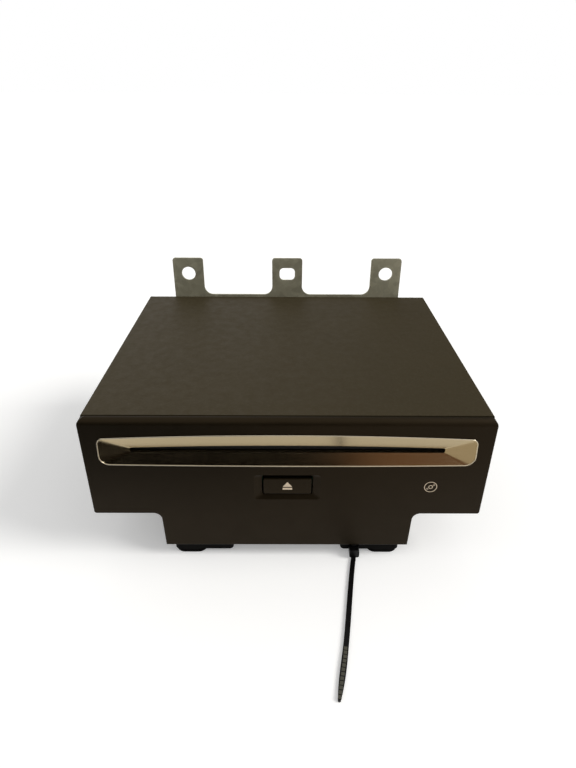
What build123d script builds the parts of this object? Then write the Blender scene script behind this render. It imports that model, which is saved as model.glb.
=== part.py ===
from build123d import *
from math import acos, atan2, cos, degrees, hypot, pi, radians, sin, sqrt, tan
import os

# Car CD changer: a single-DIN chassis with a slot front, a lower electronics tray and a rear bracket.
#
# Millimetres. x runs to the viewer's right, y runs back from the bezel's front face and z runs up from the
# floor that the rubber feet stand on. The written pieces are moved along y, so that the row's origin lies
# under the middle of the whole object.

os.makedirs("parts", exist_ok=True)

# ---- Overall sizes
chassis_width = 181.4
chassis_height = 50.0
cover_back_y = 150.4
cover_sheet = 0.8
chassis_sheet = 1.0
sheet_gap = 0.2
seam_y = 3.3
seam_gap = 0.9
bezel_overhang = 0.9
bezel_height = 52.8
skirt_drop = 20.2
skirt_cover = 0.6
base_height = 5.1
foot_height = 2.5

# ---- Heights that follow, from the floor up
tray_floor_z = foot_height + base_height
skirt_low_z = tray_floor_z - skirt_cover
bezel_low_z = skirt_low_z + skirt_drop
top_z = bezel_low_z + bezel_height
chassis_lift = top_z - chassis_height
chassis_floor = chassis_lift + chassis_sheet
chassis_high_z = top_z - cover_sheet - sheet_gap
disc_z = top_z - 16.7

# ---- Bezel
bezel_plate = 2.6
bezel_return = 9.0
bezel_top_round = 3.1
bezel_corner_round = 3.4
bezel_bottom_round = 1.2
bezel_edge_round = 0.6
bezel_lip = 1.2
skirt_top_half = 60.0
skirt_bottom_half = 59.4
skirt_fillet = 3.8
skirt_return = 1.8

# ---- Slot trim
disc_radius = 60.0
disc_thickness = 1.2
trim_margin = 6.9
trim_top_end_z = top_z - 9.6
trim_top_mid_z = top_z - 7.55
trim_bottom_end_z = top_z - 24.0
trim_bottom_mid_z = top_z - 24.7
trim_top_round = 3.2
trim_bottom_round = 4.8
trim_lean = 0.6
trim_rim = 0.35
trim_proud = 0.15
trim_depth = 4.2
trim_clearance = 0.12
slot_margin = 13.9
slot_recess = 2.3
slot_bottom_z = disc_z - 1.9
slot_top_end_z = disc_z + 0.6
slot_top_mid_z = disc_z + 1.9
slot_round = 0.8
curtain_sheet = 0.8
curtain_height = 5.4
curtain_gap = 0.6

# ---- Eject button
button_half = 11.1
button_high_z = top_z - 32.1
button_height = 8.75
button_gap = 0.7
button_top_gap = 1.5
button_inset = 0.3
button_depth = 3.7
button_travel = 0.6
button_edge = 0.4
button_corner = 0.8
boss_radius = 1.5
boss_length = 1.5
recess_depth = 1.1
recess_side = 3.6
recess_drop = 2.4
recess_rise = 0.9
symbol_inlay = 0.4
symbol_proud = 0.03
symbol_half = 2.2
symbol_apex_drop = 1.75
symbol_base_drop = 4.55
symbol_bar_drop = 5.15
symbol_bar_height = 1.05
switch_side = 6.0
switch_height = 2.9
plunger_radius = 1.7
plunger_length = 1.6
running_gap = 0.05

# ---- Front wall, key board and its screws
front_wall_y = 8.4
window_half = 16.0
window_half_height = 6.5
key_board_half = 22.0
key_board_sheet = 1.6
key_board_half_height = 8.0

# ---- Air holes of the back wall
air_mid_z = chassis_lift + 30.0
air_pitch = 8.0
air_radius = 1.8

# ---- Rear bracket
bracket_sheet = 1.2
bracket_low_z = chassis_lift + 10.0
web_top_z = top_z + 1.6
tab_top_z = top_z + 26.0
tab_width = 19.5
tab_pitch = 63.95
tab_round = 1.8
web_fillet = 5.5
tab_hole_radius = 4.4
tab_hole_z = top_z + 15.8
key_hole_width = 9.9
key_hole_height = 8.1
key_hole_round = 2.7
key_hole_z = top_z + 15.6

# ---- Lower tray and feet
tray_half = 57.5
tray_sheet = 1.0
tray_front_y = 4.6
tray_back_y = 149.0
tray_flange = 7.0
base_inner_x = 26.7
base_outer_x = 55.6
base_front_y = 2.0
base_length = 18.0
base_step = 1.4
foot_side = 15.7
foot_round = 4.5

# ---- Cable tie
tie_width = 2.4
tie_sheet = 1.1
tie_x = 33.3
tie_head_width = 4.8
tie_head_height = 4.6
tie_head_depth = 4.0
tie_play = 0.15
tie_tunnel_z = tray_floor_z - 2.0

# ---- Boards and connector
board_sheet = 1.6
board_z = tray_floor_z + 4.4
post_gap = 6.5
board_front_y = 12.0
board_back_y = 147.6
post_radius = 3.0
post_inset = 5.0
socket_x = 28.0
socket_width = 27.0
socket_height = 11.0
socket_depth = 14.0
socket_wall = 1.4
socket_proud = 1.6
socket_clearance = 0.3
pin_radius = 0.4
pin_pitch = 4.0
pin_count = 5

# ---- Fasteners
screw_radius = 1.3
screw_head_radius = 2.4
screw_head_height = 1.2
screw_clearance = 0.1
screw_length = 4.0
short_screw_length = 2.4

# ---- Ribbon cable
ribbon_x = -28.0
ribbon_half = 11.0
ribbon_y = 145.4
ribbon_sheet = 0.2

# ---- Mechanism frame
damper_length = 6.4
frame_sheet = 1.0
frame_floor_z = chassis_floor + 0.8
frame_front_y = 14.0
frame_back_y = 144.0
frame_high_z = disc_z + 1.3
disc_centre_y = 82.0
damper_radius = 4.5
damper_z = chassis_floor + 16.0
damper_front_y = 52.0
damper_back_y = 122.0

# ---- Loading drive
roller_y = 18.0
roller_radius = 4.0
roller_half = 62.0
roller_waist = 0.5
shaft_radius = 1.5
gear_width = 2.0
gear_side_gap = 1.2
gear_module = 0.6
gear_backlash = 0.14
roller_teeth = 20
idler_teeth = 18
pinion_teeth = 12
motor_y = 24.0
motor_z = chassis_floor + 14.0
motor_radius = 6.0
motor_length = 16.0
motor_shaft_radius = 0.75
idler_pin_radius = 1.0
guide_sheet = 1.0
guide_front_y = 14.0
guide_back_y = 44.0
lever_x = 52.0
lever_y = 31.0
lever_reach = 8.0
lever_sheet = 0.8
lever_pin_radius = 1.2

# ---- Playing deck
deck_z = disc_z - 5.3
deck_sheet = 1.0
deck_front_y = 56.0
deck_back_y = 112.0
deck_front_tab = 9.0
deck_back_tab = 6.4
deck_window_low_x = 13.0
window_play = 1.5
spindle_motor_radius = 10.5
spindle_motor_height = 4.4
turntable_radius = 13.0
cone_radius = 7.3
cone_height = 1.8
sled_start_x = 23.0
sled_length = 17.0
sled_travel = 35.0
sled_half_depth = 17.0
sled_height = 6.4
rod_radius = 1.0
rod_offset = 14.0
rod_z = deck_z - 1.6
lens_radius = 3.0
lens_height = 0.9
lead_radius = 1.5
lead_root = 1.2
lead_pitch = 3.0
lead_y = 103.5
lead_z = deck_z - 2.3
lead_start_x = 6.0
sled_motor_radius = 2.3
sled_motor_length = 16.0

# ---- Clamp
arm_hinge_y = 138.0
arm_hinge_z = disc_z + 5.7
arm_width = 26.0
arm_sheet = 1.2
arm_pin_radius = 1.5
puck_radius = 15.0
puck_height = 2.0
puck_bore = 8.0
stem_radius = 4.0
cap_radius = 6.5
clamp_gap = 0.1

# ---- Disc stack and lift
tray_count = 6
stack_pitch = 1.9
stack_sheet = 0.6
stack_margin = 2.5
stack_bore = 34.0
stack_low_z = chassis_floor + 6.8
stack_travel = 5.0
lift_circle = 70.0
lift_angle = 40.0
lift_ear = 5.0
lift_root = 2.4
lift_crest = 3.0
lift_pitch = 6.0
lift_clearance = 0.3
lift_teeth = 30
lift_gear_z = chassis_floor + 2.2
lift_gear_width = 1.4
pulley_radius = 4.6
pulley_flange = 5.4
belt_z = chassis_floor + 4.2
lift_motor_angle = 120.0
belt_width = 1.4
belt_sheet = 0.8
belt_gap = 0.06
lift_motor_length = 13.0

# ---- Derived sizes
cover_half = chassis_width / 2
chassis_half = cover_half - cover_sheet - sheet_gap
chassis_inner = chassis_half - chassis_sheet
frame_outer = chassis_inner - damper_length
frame_half = frame_outer - frame_sheet
bezel_half = chassis_width / 2 + bezel_overhang
trim_half = bezel_half - trim_margin
slot_half = trim_half - slot_margin
board_half = socket_x + socket_width / 2 + post_gap + post_inset
button_low_z = button_high_z - button_height
button_mid_z = button_high_z - button_height / 2
back_y = cover_back_y + bracket_sheet
front_wall_back_y = front_wall_y + chassis_sheet
tie_reach = 74.8
front_y = (tie_reach - back_y - screw_head_height) / 2
frame_floor_top = frame_floor_z + frame_sheet
stack_radius = disc_radius + stack_margin
stack_high_z = stack_low_z + (tray_count - 1) * stack_pitch + stack_sheet
lift_high_z = stack_high_z + stack_travel + 1.7
deck_window_high_x = sled_start_x + sled_length / 2 + sled_travel + window_play
lead_end_x = deck_window_high_x + 2
disc_low_z = disc_z - disc_thickness / 2
disc_high_z = disc_z + disc_thickness / 2
roller_z = disc_low_z - roller_radius
lift_x = lift_circle * sin(radians(90 - lift_angle))
lift_y = lift_circle * cos(radians(90 - lift_angle))
lift_places = [(sx * lift_x, disc_centre_y + sy * lift_y) for sx in (-1, 1) for sy in (-1, 1)]
switch_front_y = front_wall_back_y - switch_height


# ---- Building blocks
def block(x0, x1, y0, y1, z0, z1):
    """Box between two corners."""
    return Pos((x0 + x1) / 2, (y0 + y1) / 2, (z0 + z1) / 2) * Box(x1 - x0, y1 - y0, z1 - z0)


def mirrored(shape):
    """The shape and its copy across the middle plane x = 0."""
    return [shape, mirror(shape, about=Plane.YZ)]


def rod_x(x0, x1, y, z, radius):
    """Round bar along x."""
    return Pos((x0 + x1) / 2, y, z) * Rot(0, 90, 0) * Cylinder(radius, x1 - x0)


def rod_y(x, y0, y1, z, radius):
    """Round bar along y."""
    return Pos(x, (y0 + y1) / 2, z) * Rot(90, 0, 0) * Cylinder(radius, y1 - y0)


def rod_z_bar(x, y, z0, z1, radius):
    """Round bar along z."""
    return Pos(x, y, (z0 + z1) / 2) * Cylinder(radius, z1 - z0)


def front_plane(y):
    """Drawing plane that faces the viewer at depth y, with x to the right and z up."""
    return Plane(origin=(0, y, 0), x_dir=(1, 0, 0), z_dir=(0, -1, 0))


def front_prism(sketch, y0, y1):
    """A front-facing outline given depth from y0 back to y1."""
    return extrude(front_plane(y0) * sketch, amount=-(y1 - y0))


def plan_prism(sketch, z0, z1):
    """A plan outline given height from z0 up to z1."""
    return extrude(Plane(origin=(0, 0, z0)) * sketch, amount=z1 - z0)


def screw(place, outward, head_radius=screw_head_radius, length=screw_length, radius=screw_radius):
    """Cross-recessed pan screw whose head's underside is at place and whose head points outward."""
    head = Pos(0, 0, screw_head_height / 2) * Cylinder(head_radius, screw_head_height)
    head = fillet(head.edges().group_by(Axis.Z)[-1], screw_head_height * 0.4)
    shank = Pos(0, 0, -length / 2) * Cylinder(radius, length)
    cross_depth = screw_head_height * 0.6
    cross_length = head_radius * 1.1
    cross_width = head_radius * 0.24
    cross_z = screw_head_height - cross_depth / 2
    cross = Pos(0, 0, cross_z) * Box(cross_length, cross_width, cross_depth)
    cross += Pos(0, 0, cross_z) * Box(cross_width, cross_length, cross_depth)
    return Plane(origin=place, z_dir=outward) * (head + shank - cross)


def screw_hole(place, outward, length=screw_length, radius=screw_radius):
    """Clearance hole for a screw at place, a little longer than its shank."""
    reach = length + screw_clearance
    depth = reach + screw_clearance
    hole = Pos(0, 0, screw_clearance - depth / 2) * Cylinder(radius + screw_clearance, depth)
    return Plane(origin=place, z_dir=outward) * hole


def gear(module, teeth, width, bore, tooth_angle):
    """Involute spur gear along z from 0 to width, with one tooth centred on tooth_angle in radians."""
    pressure = radians(20)
    pitch_radius = module * teeth / 2
    base_radius = pitch_radius * cos(pressure)
    tip_radius = pitch_radius + 0.85 * module
    root_radius = pitch_radius - 1.2 * module
    half_tooth = pi / (2 * teeth) - gear_backlash / (2 * pitch_radius)

    def involute(angle):
        return tan(angle) - angle

    def half_angle(radius):
        roll = acos(min(1.0, base_radius / max(radius, base_radius)))
        return half_tooth + involute(pressure) - involute(roll)

    start = max(base_radius, root_radius)
    radii = [start + (tip_radius - start) * step / 4 for step in range(5)]
    flank = [(root_radius, half_angle(start))] if root_radius < start else []
    flank += [(radius, half_angle(radius)) for radius in radii]
    outline = []
    for tooth in range(teeth):
        centre = tooth_angle + 2 * pi * tooth / teeth
        outline += [(radius, centre - half) for radius, half in flank]
        outline += [(radius, centre + half) for radius, half in reversed(flank)]
    points = [(radius * cos(angle), radius * sin(angle)) for radius, angle in outline]
    body = extrude(Polygon(*points, align=None), amount=width)
    return body - Pos(0, 0, width / 2) * Cylinder(bore, width * 2)


def meshed_angle(first_angle, first_teeth, second_teeth, line_angle):
    """Tooth angle of a second gear that meshes with a first one along line_angle."""
    turned_back = (first_angle - line_angle) * first_teeth / second_teeth
    return line_angle + pi + pi / second_teeth - turned_back


def threaded_rod(root, crest, pitch, length):
    """Round rod along z with one right-hand ridge, plain for half a turn at each end."""
    sink = (crest - root) / 2
    core = Pos(0, 0, length / 2) * Cylinder(root, length)
    turns_height = length - pitch
    path = Helix(pitch=pitch, height=turns_height, radius=root)
    plane = Plane(origin=(root - sink, 0, 0), x_dir=(1, 0, 0), z_dir=(0, -1, 0))
    height = crest - root + sink
    outline = Polygon((0, -height), (height, -height / 3), (height, height / 3), (0, height), align=None)
    ridge = sweep(plane * outline, path=path, is_frenet=True)
    return core + Pos(0, 0, pitch / 2) * ridge


def save(name, *shapes):
    """Write one node from its solids, with the row's origin under the middle of the object."""
    solids = [solid for shape in shapes for solid in shape.solids()]
    whole = solids[0] if len(solids) == 1 else Compound(children=solids)
    export_step(Pos(0, front_y, 0) * whole, f"parts/{name}.step")


# ---- Screw places, shared by the screws and the holes that they pass through
side_screws = [
    ((side * cover_half, y, chassis_lift + 20), (side, 0, 0))
    for side in (-1, 1)
    for y in (24, 128)
]
bracket_screws = [
    ((side * 52, back_y, z), (0, 1, 0))
    for side in (-1, 1)
    for z in (bracket_low_z + 8, web_top_z - 14)
]
bezel_screws = [
    ((side * x, front_wall_back_y, button_mid_z), (0, 1, 0))
    for side in (-1, 1)
    for x in (34, bezel_half - 11)
]
key_board_screw_x = window_half + 3
key_board_back_y = front_wall_back_y + key_board_sheet
key_board_screws = [
    ((side * key_board_screw_x, key_board_back_y, button_mid_z), (0, 1, 0))
    for side in (-1, 1)
]
flange_x = tray_half + tray_sheet + tray_flange / 2
tray_screws = [
    ((side * flange_x, y, chassis_lift - tray_sheet), (0, 0, -1)) for side in (-1, 1) for y in (22, 76, 130)
]
board_places = [
    (side * (board_half - post_inset), y)
    for side in (-1, 1)
    for y in (board_front_y + post_inset, board_back_y - post_inset)
]
board_screws = [((x, y, board_z + board_sheet), (0, 0, 1)) for x, y in board_places]
deck_screws = [
    ((side * (frame_half - 4), y, deck_z + deck_sheet), (0, 0, 1))
    for side in (-1, 1)
    for y in (deck_front_y + deck_front_tab / 2, deck_back_y - deck_back_tab / 2)
]
guide_screws = [
    ((side * (frame_half - 3), y, frame_high_z + guide_sheet), (0, 0, 1))
    for side in (-1, 1)
    for y in (20, 38, 132, 140)
]


# ---- Casing
def top_cover():
    """Folded steel cover: a flat top and two sides, open at the front, the back and below."""
    shell = block(-cover_half, cover_half, seam_y + seam_gap, cover_back_y, chassis_lift + 0.6, top_z)
    inner = block(
        -cover_half + cover_sheet,
        cover_half - cover_sheet,
        0,
        cover_back_y + 1,
        0,
        top_z - cover_sheet,
    )
    long_edges = shell.edges().filter_by(Axis.Y).group_by(Axis.Z)[-1]
    shell = fillet(long_edges, cover_sheet) - inner
    for place, outward in side_screws:
        shell -= screw_hole(place, outward)
    return shell


def bottom_chassis():
    """Steel pan with side walls, a back wall and a front wall that carries the bezel and the key board."""
    shell = block(-chassis_half, chassis_half, front_wall_y, cover_back_y, chassis_lift, chassis_high_z)
    shell -= block(
        -chassis_inner,
        chassis_inner,
        front_wall_back_y,
        cover_back_y - chassis_sheet,
        chassis_floor,
        chassis_high_z + 1,
    )
    throat = slot_half + 2.2
    shell -= block(-throat, throat, 0, front_wall_back_y + 1, disc_z - 5, disc_z + 5)
    window_low = button_mid_z - window_half_height
    window_high = button_mid_z + window_half_height
    shell -= block(-window_half, window_half, 0, front_wall_back_y + 1, window_low, window_high)
    # Cable passage from the lower tray up to the mechanism
    passage_half = ribbon_half + 4
    passage_low = ribbon_x - passage_half
    passage_high = ribbon_x + passage_half
    shell -= block(
        passage_low,
        passage_high,
        ribbon_y - 2.4,
        ribbon_y + 2.4,
        chassis_lift - 1,
        chassis_floor + 1,
    )
    # Air holes in the back wall
    for row in range(3):
        for column in range(9):
            z = air_mid_z + (row - 1) * air_pitch
            shell -= rod_y((column - 4) * air_pitch, cover_back_y - 3, back_y, z, air_radius)
    for place, outward in side_screws + bracket_screws + bezel_screws + tray_screws + key_board_screws:
        shell -= screw_hole(place, outward)
    return shell


def slot_outline(grow=0.0):
    """Front view of the disc slot: straight below, gently arched above."""
    half = slot_half + grow
    top = ThreePointArc(
        (-half, slot_top_end_z + grow),
        (0, slot_top_mid_z + grow),
        (half, slot_top_end_z + grow),
    )
    rest = Polyline(
        (half, slot_top_end_z + grow),
        (half, slot_bottom_z - grow),
        (-half, slot_bottom_z - grow),
        (-half, slot_top_end_z + grow),
    )
    face = make_face(top + rest)
    return fillet(face.vertices(), slot_round + grow)


def trim_outline(grow=0.0):
    """Front view of the slot trim: long edges that bow away from the slot, and ends that lean in upward."""
    half = trim_half + grow
    high_half = half - trim_lean
    top = ThreePointArc(
        (-high_half, trim_top_end_z + grow),
        (0, trim_top_mid_z + grow),
        (high_half, trim_top_end_z + grow),
    )
    bottom = ThreePointArc(
        (half, trim_bottom_end_z - grow),
        (0, trim_bottom_mid_z - grow),
        (-half, trim_bottom_end_z - grow),
    )
    right = Line((high_half, trim_top_end_z + grow), (half, trim_bottom_end_z - grow))
    left = Line((-half, trim_bottom_end_z - grow), (-high_half, trim_top_end_z + grow))
    face = make_face(top + right + bottom + left)
    corners = face.vertices().group_by(Axis.Y)
    face = fillet(corners[-1], trim_top_round + grow)
    lower = face.vertices().group_by(Axis.Y)[0]
    return fillet(lower, trim_bottom_round + grow)


def slot_trim():
    """Satin metal frame: a shallow funnel whose four facets run in to the slot."""
    body = front_prism(trim_outline(), -trim_proud, trim_depth)
    funnel = loft(
        [
            front_plane(-trim_proud - 0.01) * trim_outline(-trim_rim),
            front_plane(slot_recess) * slot_outline(),
        ],
        ruled=True,
    )
    throat = front_prism(slot_outline(), slot_recess - 0.01, trim_depth + 1)
    return body - funnel - throat


def front_bezel():
    """Moulded front: flat face, rounded top, side returns and the narrower skirt below."""
    depth = bezel_return
    face = front_prism(
        Pos(0, bezel_low_z + bezel_height / 2) * Rectangle(2 * bezel_half, bezel_height),
        0,
        depth,
    )
    upright = face.edges().filter_by(Axis.Y)
    face = fillet(upright.group_by(Axis.Z)[-1], bezel_corner_round)
    face = fillet(face.edges().filter_by(Axis.Y).group_by(Axis.Z)[0], bezel_bottom_round)
    skirt = Polygon(
        (-skirt_bottom_half, skirt_low_z),
        (skirt_bottom_half, skirt_low_z),
        (skirt_top_half, bezel_low_z + 1),
        (-skirt_top_half, bezel_low_z + 1),
        align=None,
    )
    body = face + front_prism(skirt, 0, bezel_plate + skirt_return)
    corner = body.edges().filter_by(Axis.Y).filter_by(
        lambda edge: abs(edge.center().Z - bezel_low_z) < 0.3
        and abs(abs(edge.center().X) - skirt_top_half) < 1
    )
    body = fillet(corner, skirt_fillet)
    body = fillet(body.faces().sort_by(Axis.Y)[0].edges(), bezel_edge_round)
    # The top's front edge has a larger rounding than the rest
    square = block(
        -bezel_half - 1,
        bezel_half + 1,
        -1,
        bezel_top_round,
        top_z - bezel_top_round,
        top_z + 1,
    )
    barrel = rod_x(-bezel_half - 2, bezel_half + 2, bezel_top_round, top_z - bezel_top_round, bezel_top_round)
    body -= square - barrel
    # Hollow behind the face, with the cover's front edge let in flush at the top
    nest = cover_half + sheet_gap
    body -= block(-nest, nest, seam_y, depth + 1, chassis_lift - 0.2, top_z + 1)
    inner = bezel_half - bezel_plate
    body -= block(-inner, inner, bezel_plate, seam_y + 1, chassis_lift + 1, top_z - 3)
    body -= block(
        -skirt_bottom_half + skirt_return,
        skirt_bottom_half - skirt_return,
        bezel_plate,
        depth,
        skirt_low_z - 1,
        bezel_low_z,
    )
    # The bottom return leaves room for the lower tray behind the skirt
    room_half = tray_half + tray_sheet + 1
    body -= block(-room_half, room_half, bezel_plate + skirt_return, depth + 1, skirt_low_z, chassis_lift)
    lip_high = top_z - cover_sheet - sheet_gap
    lip_half = cover_half - 4
    lip_low = lip_high - bezel_lip
    body += block(-lip_half, lip_half, bezel_plate - 0.5, front_wall_y - 0.4, lip_low, lip_high)
    seat_half = trim_half + 1.6
    body += block(
        -seat_half,
        seat_half,
        bezel_plate - 0.5,
        trim_depth + 2,
        trim_bottom_mid_z - 2,
        trim_top_mid_z + 2,
    )
    for (x, y, z), outward in bezel_screws:
        body += rod_y(x, bezel_plate - 0.5, front_wall_y, z, screw_radius + 2)
    pocket = front_prism(trim_outline(trim_clearance), -1, trim_depth)
    throat = front_prism(slot_outline(0.8), 0, trim_depth + 4)
    body = body - pocket - throat
    body -= button_recess()
    for place, outward in bezel_screws:
        body -= screw_hole(place, outward)
    return body


def button_recess():
    """Space for the eject button: a flared mouth and a straight way through."""
    well_low = button_low_z - button_gap
    well_high = button_high_z + button_top_gap
    well = Pos(0, (well_low + well_high) / 2) * Rectangle(
        2 * (button_half + button_gap),
        well_high - well_low,
    )
    mouth_low = well_low - recess_drop
    mouth_high = well_high + recess_rise
    mouth = Pos(0, (mouth_low + mouth_high) / 2) * Rectangle(
        2 * (button_half + button_gap + recess_side),
        mouth_high - mouth_low,
    )
    well = fillet(well.vertices(), button_corner + button_gap / 2)
    mouth = fillet(mouth.vertices(), button_corner + button_gap)
    flare = loft([front_plane(-0.01) * mouth, front_plane(recess_depth) * well], ruled=True)
    return flare + front_prism(well, 0, bezel_plate + 1)


def disc_curtain():
    """Two felt strips behind the slot that the disc pushes between."""
    y0 = trim_depth + 2
    y1 = y0 + curtain_sheet
    half = slot_half + 3.2
    upper = block(-half, half, y0, y1, disc_z + curtain_gap / 2, disc_z + curtain_height)
    lower = block(-half, half, y0, y1, disc_z - curtain_height, disc_z - curtain_gap / 2)
    return [upper, lower]


# ---- Eject key
def symbol_faces():
    """Outlines of the eject sign: a triangle over a bar."""
    base_z = button_high_z - symbol_base_drop
    triangle = Polygon(
        (-symbol_half, base_z),
        (symbol_half, base_z),
        (0, button_high_z - symbol_apex_drop),
        align=None,
    )
    bar_mid_z = button_high_z - symbol_bar_drop - symbol_bar_height / 2
    bar = Pos(0, bar_mid_z) * Rectangle(2 * symbol_half, symbol_bar_height)
    return [triangle, bar]


def eject_button():
    """Key cap with an inlaid sign and a boss that presses the switch."""
    y = button_inset + button_depth
    cap = block(-button_half, button_half, button_inset, y, button_low_z, button_high_z)
    cap = fillet(cap.edges().filter_by(Axis.Y), button_corner)
    cap = fillet(cap.faces().sort_by(Axis.Y)[0].edges(), button_edge)
    for face in symbol_faces():
        cap -= front_prism(face, -1, button_inset + symbol_inlay)
    return cap + rod_y(0, y - 0.1, y + boss_length, button_mid_z, boss_radius)


def eject_symbol():
    """Pale inlay of the key's sign, a hair proud of the cap."""
    return [
        front_prism(face, button_inset - symbol_proud, button_inset + symbol_inlay) for face in symbol_faces()
    ]


plunger_front_y = button_inset + button_depth + boss_length


def switch_plunger():
    """Round plunger that the key's boss rests on."""
    return rod_y(0, plunger_front_y, plunger_front_y + plunger_length, button_mid_z, plunger_radius)


def eject_switch():
    """Square push switch with the plunger's bore in its front."""
    half = switch_side / 2
    body = block(-half, half, switch_front_y, front_wall_back_y, button_mid_z - half, button_mid_z + half)
    bore_end = plunger_front_y + plunger_length + button_travel + 0.3
    bore = rod_y(0, switch_front_y - 1, bore_end, button_mid_z, plunger_radius + running_gap)
    return body - bore


def key_board():
    """Small circuit board that carries the switch behind the front wall."""
    board = block(
        -key_board_half,
        key_board_half,
        front_wall_back_y,
        key_board_back_y,
        button_mid_z - key_board_half_height,
        button_mid_z + key_board_half_height,
    )
    for place, outward in key_board_screws:
        board -= screw_hole(place, outward)
    return board


# ---- Rear bracket
def rear_bracket():
    """Zinc-plated plate on the back wall with three upright tabs."""
    outer = tab_pitch + tab_width / 2
    outline = Pos(0, (bracket_low_z + web_top_z) / 2) * Rectangle(2 * outer, web_top_z - bracket_low_z)
    for x in (-tab_pitch, 0, tab_pitch):
        outline += Pos(x, (web_top_z + tab_top_z) / 2 - 1) * Rectangle(tab_width, tab_top_z - web_top_z + 2)
    roots = outline.vertices().filter_by(lambda corner: abs(corner.Y - web_top_z) < 0.01)
    roots = roots.filter_by(lambda corner: abs(corner.X) < outer - 1)
    outline = fillet(roots, web_fillet)
    tops = outline.vertices().filter_by(lambda corner: abs(corner.Y - tab_top_z) < 0.01)
    outline = fillet(tops, tab_round)
    for side in (-1, 1):
        outline -= Pos(side * tab_pitch, tab_hole_z) * Circle(tab_hole_radius)
    outline -= Pos(0, key_hole_z) * RectangleRounded(key_hole_width, key_hole_height, key_hole_round)
    # Window over the air holes of the back wall
    outline -= Pos(0, air_mid_z) * RectangleRounded(9.5 * air_pitch, 3 * air_pitch, 3)
    plate = front_prism(outline, cover_back_y, back_y)
    for place, outward in bracket_screws:
        plate -= screw_hole(place, outward)
    return plate


# ---- Lower tray, boards and connector
def socket_box(grow=0.0):
    """Outside of the rear connector's housing."""
    half = socket_width / 2 + grow
    low = board_z + board_sheet - grow
    return (socket_x - half, socket_x + half, low, low + socket_height + 2 * grow)


def lower_tray():
    """Open steel tray under the chassis, with screw flanges along both sides."""
    outer = tray_half + tray_sheet
    shell = block(-outer, outer, tray_front_y, tray_back_y, tray_floor_z, chassis_lift)
    shell -= block(
        -tray_half,
        tray_half,
        tray_front_y + tray_sheet,
        tray_back_y - tray_sheet,
        tray_floor_z + tray_sheet,
        chassis_lift + 1,
    )
    for side in (-1, 1):
        low_x, high_x = sorted((side * (outer - 0.2), side * (outer + tray_flange)))
        shell += block(low_x, high_x, bezel_return + 1, tray_back_y, chassis_lift - tray_sheet, chassis_lift)
    for x, y in board_places:
        shell += rod_z_bar(x, y, tray_floor_z + 0.5, board_z, post_radius)
    x0, x1, z0, z1 = socket_box(socket_clearance)
    shell -= block(x0, x1, tray_back_y - tray_sheet - 1, tray_back_y + 1, z0, z1)
    for side in (-1, 1):
        for slot in range(7):
            y = 40 + slot * 12
            low_x, high_x = sorted((side * (tray_half - 1), side * (outer + 1)))
            shell -= block(low_x, high_x, y, y + 6, board_z + 5, board_z + 7)
    for place, outward in tray_screws + board_screws + foot_screws:
        shell -= screw_hole(place, outward)
    return shell


def main_board():
    """Circuit board on the tray's posts."""
    board = block(-board_half, board_half, board_front_y, board_back_y, board_z, board_z + board_sheet)
    for place, outward in board_screws:
        board -= screw_hole(place, outward)
    return board


def rear_connector():
    """Plug socket that stands through the tray's back wall, open to the rear."""
    x0, x1, z0, z1 = socket_box()
    y1 = tray_back_y + socket_proud
    y0 = y1 - socket_depth
    body = block(x0, x1, y0, y1, z0, z1)
    body = fillet(body.edges().filter_by(Axis.Y), 0.6)
    body -= block(x0 + socket_wall, x1 - socket_wall, y0 + 3, y1 + 1, z0 + socket_wall, z1 - socket_wall)
    # The tail of the housing clears the board's edge
    return body


def connector_pins():
    """Two rows of round contact pins in the socket."""
    x0, x1, z0, z1 = socket_box()
    y1 = tray_back_y + socket_proud
    rows = ((z0 + z1) / 2 - 1.9, (z0 + z1) / 2 + 1.9)
    first = socket_x - pin_pitch * (pin_count - 1) / 2
    return [
        rod_y(first + pin_pitch * index, y1 - socket_depth + 3, y1 - 4, z, pin_radius)
        for z in rows
        for index in range(pin_count)
    ]


def board_chips():
    """Square packages of the servo, memory and power circuits."""
    top = board_z + board_sheet
    places = ((-20, 50, 14, 2.0), (8, 46, 10, 1.8), (-34, 92, 8, 1.6), (24, 84, 12, 2.2), (-2, 100, 9, 1.6))
    return [
        block(x - side / 2, x + side / 2, y - side / 2, y + side / 2, top, top + height)
        for x, y, side, height in places
    ]


def board_capacitors():
    """Upright round capacitors along the supply side of the board."""
    top = board_z + board_sheet
    return [rod_z_bar(-44, 60 + 11 * index, top, top + 10, 3.6) for index in range(4)] + [
        rod_z_bar(42, 40 + 10 * index, top, top + 7, 2.8) for index in range(3)
    ]


def ribbon_cable():
    """Flat cable from the main board up through the chassis floor and forward to the playing deck."""
    low = board_z + board_sheet + ribbon_socket_height
    high = deck_z - 1.2
    rise = block(
        ribbon_x - ribbon_half,
        ribbon_x + ribbon_half,
        ribbon_y,
        ribbon_y + ribbon_sheet,
        low,
        high + ribbon_sheet,
    )
    run = block(
        ribbon_x - ribbon_half,
        ribbon_x + ribbon_half,
        ribbon_socket_y,
        ribbon_y,
        high,
        high + ribbon_sheet,
    )
    return rise + run


ribbon_socket_height = 3.0
ribbon_socket_y = deck_back_y - 6


def ribbon_sockets():
    """Flat-cable sockets on the main board and under the playing deck."""
    half = ribbon_half + 2
    low = board_z + board_sheet
    lower = block(
        ribbon_x - half,
        ribbon_x + half,
        ribbon_y - 2,
        ribbon_y + 2,
        low,
        low + ribbon_socket_height,
    )
    upper = block(
        ribbon_x - half,
        ribbon_x + half,
        ribbon_socket_y - 2.4,
        ribbon_socket_y,
        deck_z - 2.2,
        deck_z,
    )
    return [lower, upper]


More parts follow.
